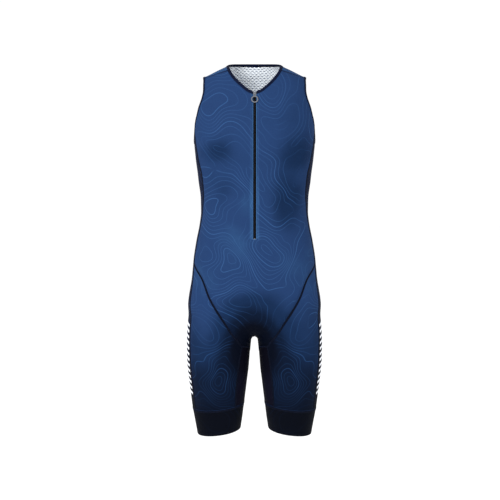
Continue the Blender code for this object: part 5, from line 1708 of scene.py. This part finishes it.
light_ring = raised_ring(cuff_ring, CORD_RISE)
for side, flip in SIDES:
    ribbon(f"light_line_{side}", light_ring * flip, CORD, NAVY_THREAD, True)
hem_rows = [directions(closely(raised_ring(cuff[-1], rise), HEM_SPACING)) for rise in HEM_RISES]
stitches("hem_topstitch", both_sides(joined_frames(*hem_rows)), **TOPSTITCH, slot="cuff_cloth")
print(2 * sum(len(row[0]) for row in hem_rows), "stitches in the hems")

# %% [markdown]
# ### The zip
#
# A number 3 coil zip: two woven tapes sewn behind the slit, each with a nylon coil along its edge. The
# coils' loops mesh like combed fingers. Each loop is one short thick thread, and the two rows are half a
# pitch apart. The slit's edges are finished with a fine lighter cord. Slider, pull and stop stay the
# frame's own solids and only get their metal.

# %% Tapes
TAPE_COLUMNS = (0.0002, 0.0012, 0.0023, 0.0045, 0.0070, 0.0100, 0.0130)
TAPE_DEPTH = 0.0015
TAPE_WALL = 0.0006
TAPE_TOP_DROP = 0.0005


def zip_rows(columns):
    """Points behind the slit: a row at the neck's edge, then one for each row of the front panel."""
    near = lines["neck_close"][: CLOSE_POINTS // 3]
    top = np.array([[np.interp(x, near[:, 0], column) for column in near.T] for x in columns])
    top[:, 2] -= TAPE_TOP_DROP
    rows = [on_body(trunk_axis(top), top)]
    for points in front_grid_half[: ZIP_ROWS + 1]:
        rows.append(np.array([[np.interp(x, points[:, 0], column) for column in points.T] for x in columns]))
    return np.stack(rows)


def tape(name, node, grid):
    """A flat strip of the tape's thickness under the grid's points."""
    ways = outward(grid)
    both = np.stack([grid - TAPE_DEPTH * ways, grid - (TAPE_DEPTH + TAPE_WALL) * ways]).reshape(-1, 3)
    quads = grid_quads(*grid.shape[:2])[0]
    count = len(both) // 2
    faces = two_faced(quads, rim_of(quads, count), count)
    made = quad_mesh(name, both, faces, [TWILL], np.tile(grid_uv(grid), (2, 1))[faces])
    turn_outward(made)
    fitted(made, node)


tape_grid = zip_rows(TAPE_COLUMNS)
for side, flip in SIDES:
    tape(f"tape_{side}", f"zip_tape_{side}", tape_grid * flip)

# %% Teeth, cord and end
TEETH_PITCH = 0.00135
TEETH_START, TEETH_END = 0.0090, 0.0035
TOOTH = {"length": 0.0029, "width": 0.00105, "height": 0.00095, "material": COIL}
TOOTH_OFF, TOOTH_SUNK = 0.00085, 0.0010
ZIP_PIPE = round_profile(10, 0.62, 0.55, -0.1)
ZIP_STITCH_OFF = 0.0028
ZIP_FOOT_STEPS = 7
zip_middle = zip_rows((0.0,))[:, 0]
travel = travelled(zip_middle)
teeth_line = zip_middle[(travel > TEETH_START) & (travel < travel[-1] - TEETH_END)]
teeth_line = closely(teeth_line, TEETH_PITCH)
places, *ways = directions(teeth_line)
half_step = np.concatenate([(places[1:] + places[:-1]) / 2, places[-1:]])
left = (places + TOOTH_OFF * SIDEWAYS - TOOTH_SUNK * ways[-1], *ways)
right = (half_step - TOOTH_OFF * SIDEWAYS - TOOTH_SUNK * ways[-1], *ways)
teeth = stitches("zip_teeth", joined_frames(left, right), **TOOTH, slot="zip_chain", turn=90.0)
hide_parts("zip_chain")
slot_edge = front_grid_half[: ZIP_ROWS + 1, 1]
for side, flip in SIDES:
    edge = closely(slot_edge, RIBBON_STEP) * flip
    ribbon(f"zip_edge_cord_{side}", edge, ZIP_PIPE, BLUE_THREAD)
beside = closely(slot_edge + ZIP_STITCH_OFF * SIDEWAYS, STITCH_SPACING)
zip_stitch = directions(on_body(trunk_axis(beside), beside))
stitches("zip_topstitch", both_sides(zip_stitch), **TOPSTITCH, slot="printed_cloth")
across_foot = np.linspace(mirrored(slot_edge[-1]), slot_edge[-1], ZIP_FOOT_STEPS)
across_foot = on_body(trunk_axis(across_foot), across_foot)
ribbon("zip_end_cord", across_foot, ZIP_PIPE, BLUE_THREAD)
for node in ("zip_slider", "zip_pull", "zip_stop"):
    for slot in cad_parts[node].material_slots:
        slot.material = PLATED
print(len(teeth_line), "teeth on each side")

# %% [markdown]
# ### Reflective dashes
#
# Race suits carry something light on the side of the thigh, so that they are seen at dusk. Here it is a
# plain row of slanted dashes, pressed on as a thin film.

# %% Dashes on the thigh part of each side strip
DASH_TOP_Z, DASH_PITCH, DASH_COUNT = -0.668, 0.0150, 13
DASH_HEIGHT, DASH_SLANT = 0.0066, 0.0060
DASH_FRONT, DASH_BACK = 0.07, 0.46
DASH_ROWS, DASH_COLUMNS = 4, 7
FILM_WALL = 0.00012


def dashes(name, flip):
    """Small grids on the strip: share s across it, height z = top - pitch k - height v + slant s."""
    shares = [np.arange(DASH_COUNT), np.linspace(0, 1, DASH_ROWS), np.linspace(0, 1, DASH_COLUMNS)]
    k, v, s = np.meshgrid(*shares, indexing="ij")
    share = DASH_FRONT + (DASH_BACK - DASH_FRONT) * s
    z = DASH_TOP_Z - DASH_PITCH * k - DASH_HEIGHT * v + DASH_SLANT * s
    y = -STRIP_FRONT(z) * (1 - share) + STRIP_BACK(z) * share
    start = points_at(LEG_AXIS_X, y, z)
    grid = on_body(start, start + SIDEWAYS)
    ways = outward(grid)
    grid = creased(grid, ways)
    quads = grid_quads(DASH_ROWS, DASH_COLUMNS)[0]
    count = DASH_ROWS * DASH_COLUMNS
    faces = two_faced(quads, rim_of(quads, count), count)
    every = (faces[None] + 2 * count * np.arange(DASH_COUNT)[:, None, None]).reshape(-1, 4)
    both = np.stack([grid + 2 * FILM_WALL * ways, grid - FILM_WALL * ways], axis=1).reshape(-1, 3)
    made = quad_mesh(name, both * flip, every, [FILM])
    turn_outward(made)
    return fitted(made)


for side, flip in SIDES:
    dashes(f"reflective_dashes_{side}", flip)
print(DASH_COUNT, "dashes on each thigh")

# %% [markdown]
# ## Floor, light and camera
#
# The photo is a catalogue picture: a filled suit on plain white with soft light from the upper left.
# The floor lies far below, out of the picture. The camera looks from chest height, slightly down, with a
# long lens.

# %% Floor and light
FLOOR_Z, FLOOR_RADIUS, FLOOR_CORNERS = -1.5, 9.0, 96
SKY_STRENGTH = 1.04
BODY_MIDDLE = (0.0, 0.0, -0.45)
turns = math.tau * np.arange(FLOOR_CORNERS) / FLOOR_CORNERS
rim = [FLOOR_RADIUS * np.cos(turns), FLOOR_RADIUS * np.sin(turns), np.full(FLOOR_CORNERS, FLOOR_Z)]
floor_mesh = bpy.data.meshes.new("floor")
floor_mesh.from_pydata(np.stack(rim, axis=1).tolist(), [], [list(range(FLOOR_CORNERS))])
floor = linked(bpy.data.objects.new("floor", floor_mesh))
floor_paint, tree, shader = fresh("white_studio_paper", Roughness=0.95)
place = add(tree, "TexCoord").outputs["Object"]
pulp = add(tree, "TexNoise", {"Vector": place, "Scale": 3.0}).outputs[0]
tree.links.new(mixed(tree, pulp, linear("#ffffff"), linear("#fcfcfd")), shader.inputs["Base Color"])
floor_mesh.materials.append(floor_paint)

world = bpy.data.worlds.new("studio")
bpy.context.scene.world = world
world.use_nodes = True
sky = world.node_tree.nodes["Background"].inputs
sky["Color"].default_value = (1.0, 1.0, 1.0, 1.0)
sky["Strength"].default_value = SKY_STRENGTH


def softbox(name, place, aim, size, power):
    """A square area light that looks at a point."""
    lamp = bpy.data.lights.new(name, "AREA")
    lamp.shape, lamp.size, lamp.energy = "SQUARE", size, power
    made = linked(bpy.data.objects.new(name, lamp))
    made.location = place
    made.rotation_euler = (Vector(aim) - Vector(place)).to_track_quat("-Z", "Y").to_euler()
    return made


key = softbox("key", (-1.5, -2.2, 1.2), BODY_MIDDLE, 1.0, 80.0)
fill = softbox("fill", (2.0, -2.1, 0.0), BODY_MIDDLE, 1.8, 16.0)
print("key", tuple(key.location), "fill", tuple(fill.location))

# %% Camera
FOCAL_PIXELS, PICTURE_PIXELS, SENSOR_WIDTH = 1282.7, 500, 36.0
camera_data = bpy.data.cameras.new("camera")
camera_data.sensor_width = SENSOR_WIDTH
camera_data.lens = FOCAL_PIXELS / PICTURE_PIXELS * SENSOR_WIDTH
camera = linked(bpy.data.objects.new("camera", camera_data))
camera.location = (-0.0117, -3.3, 0.005)
look = Vector((-0.0117, 0.0, -0.478)) - camera.location
camera.rotation_euler = look.to_track_quat("-Z", "Y").to_euler()
bpy.context.scene.camera = camera
bpy.context.scene.view_settings.view_transform = "Standard"
print("lens", round(camera_data.lens, 1), "mm")

# %% The end
bpy.context.view_layer.update()
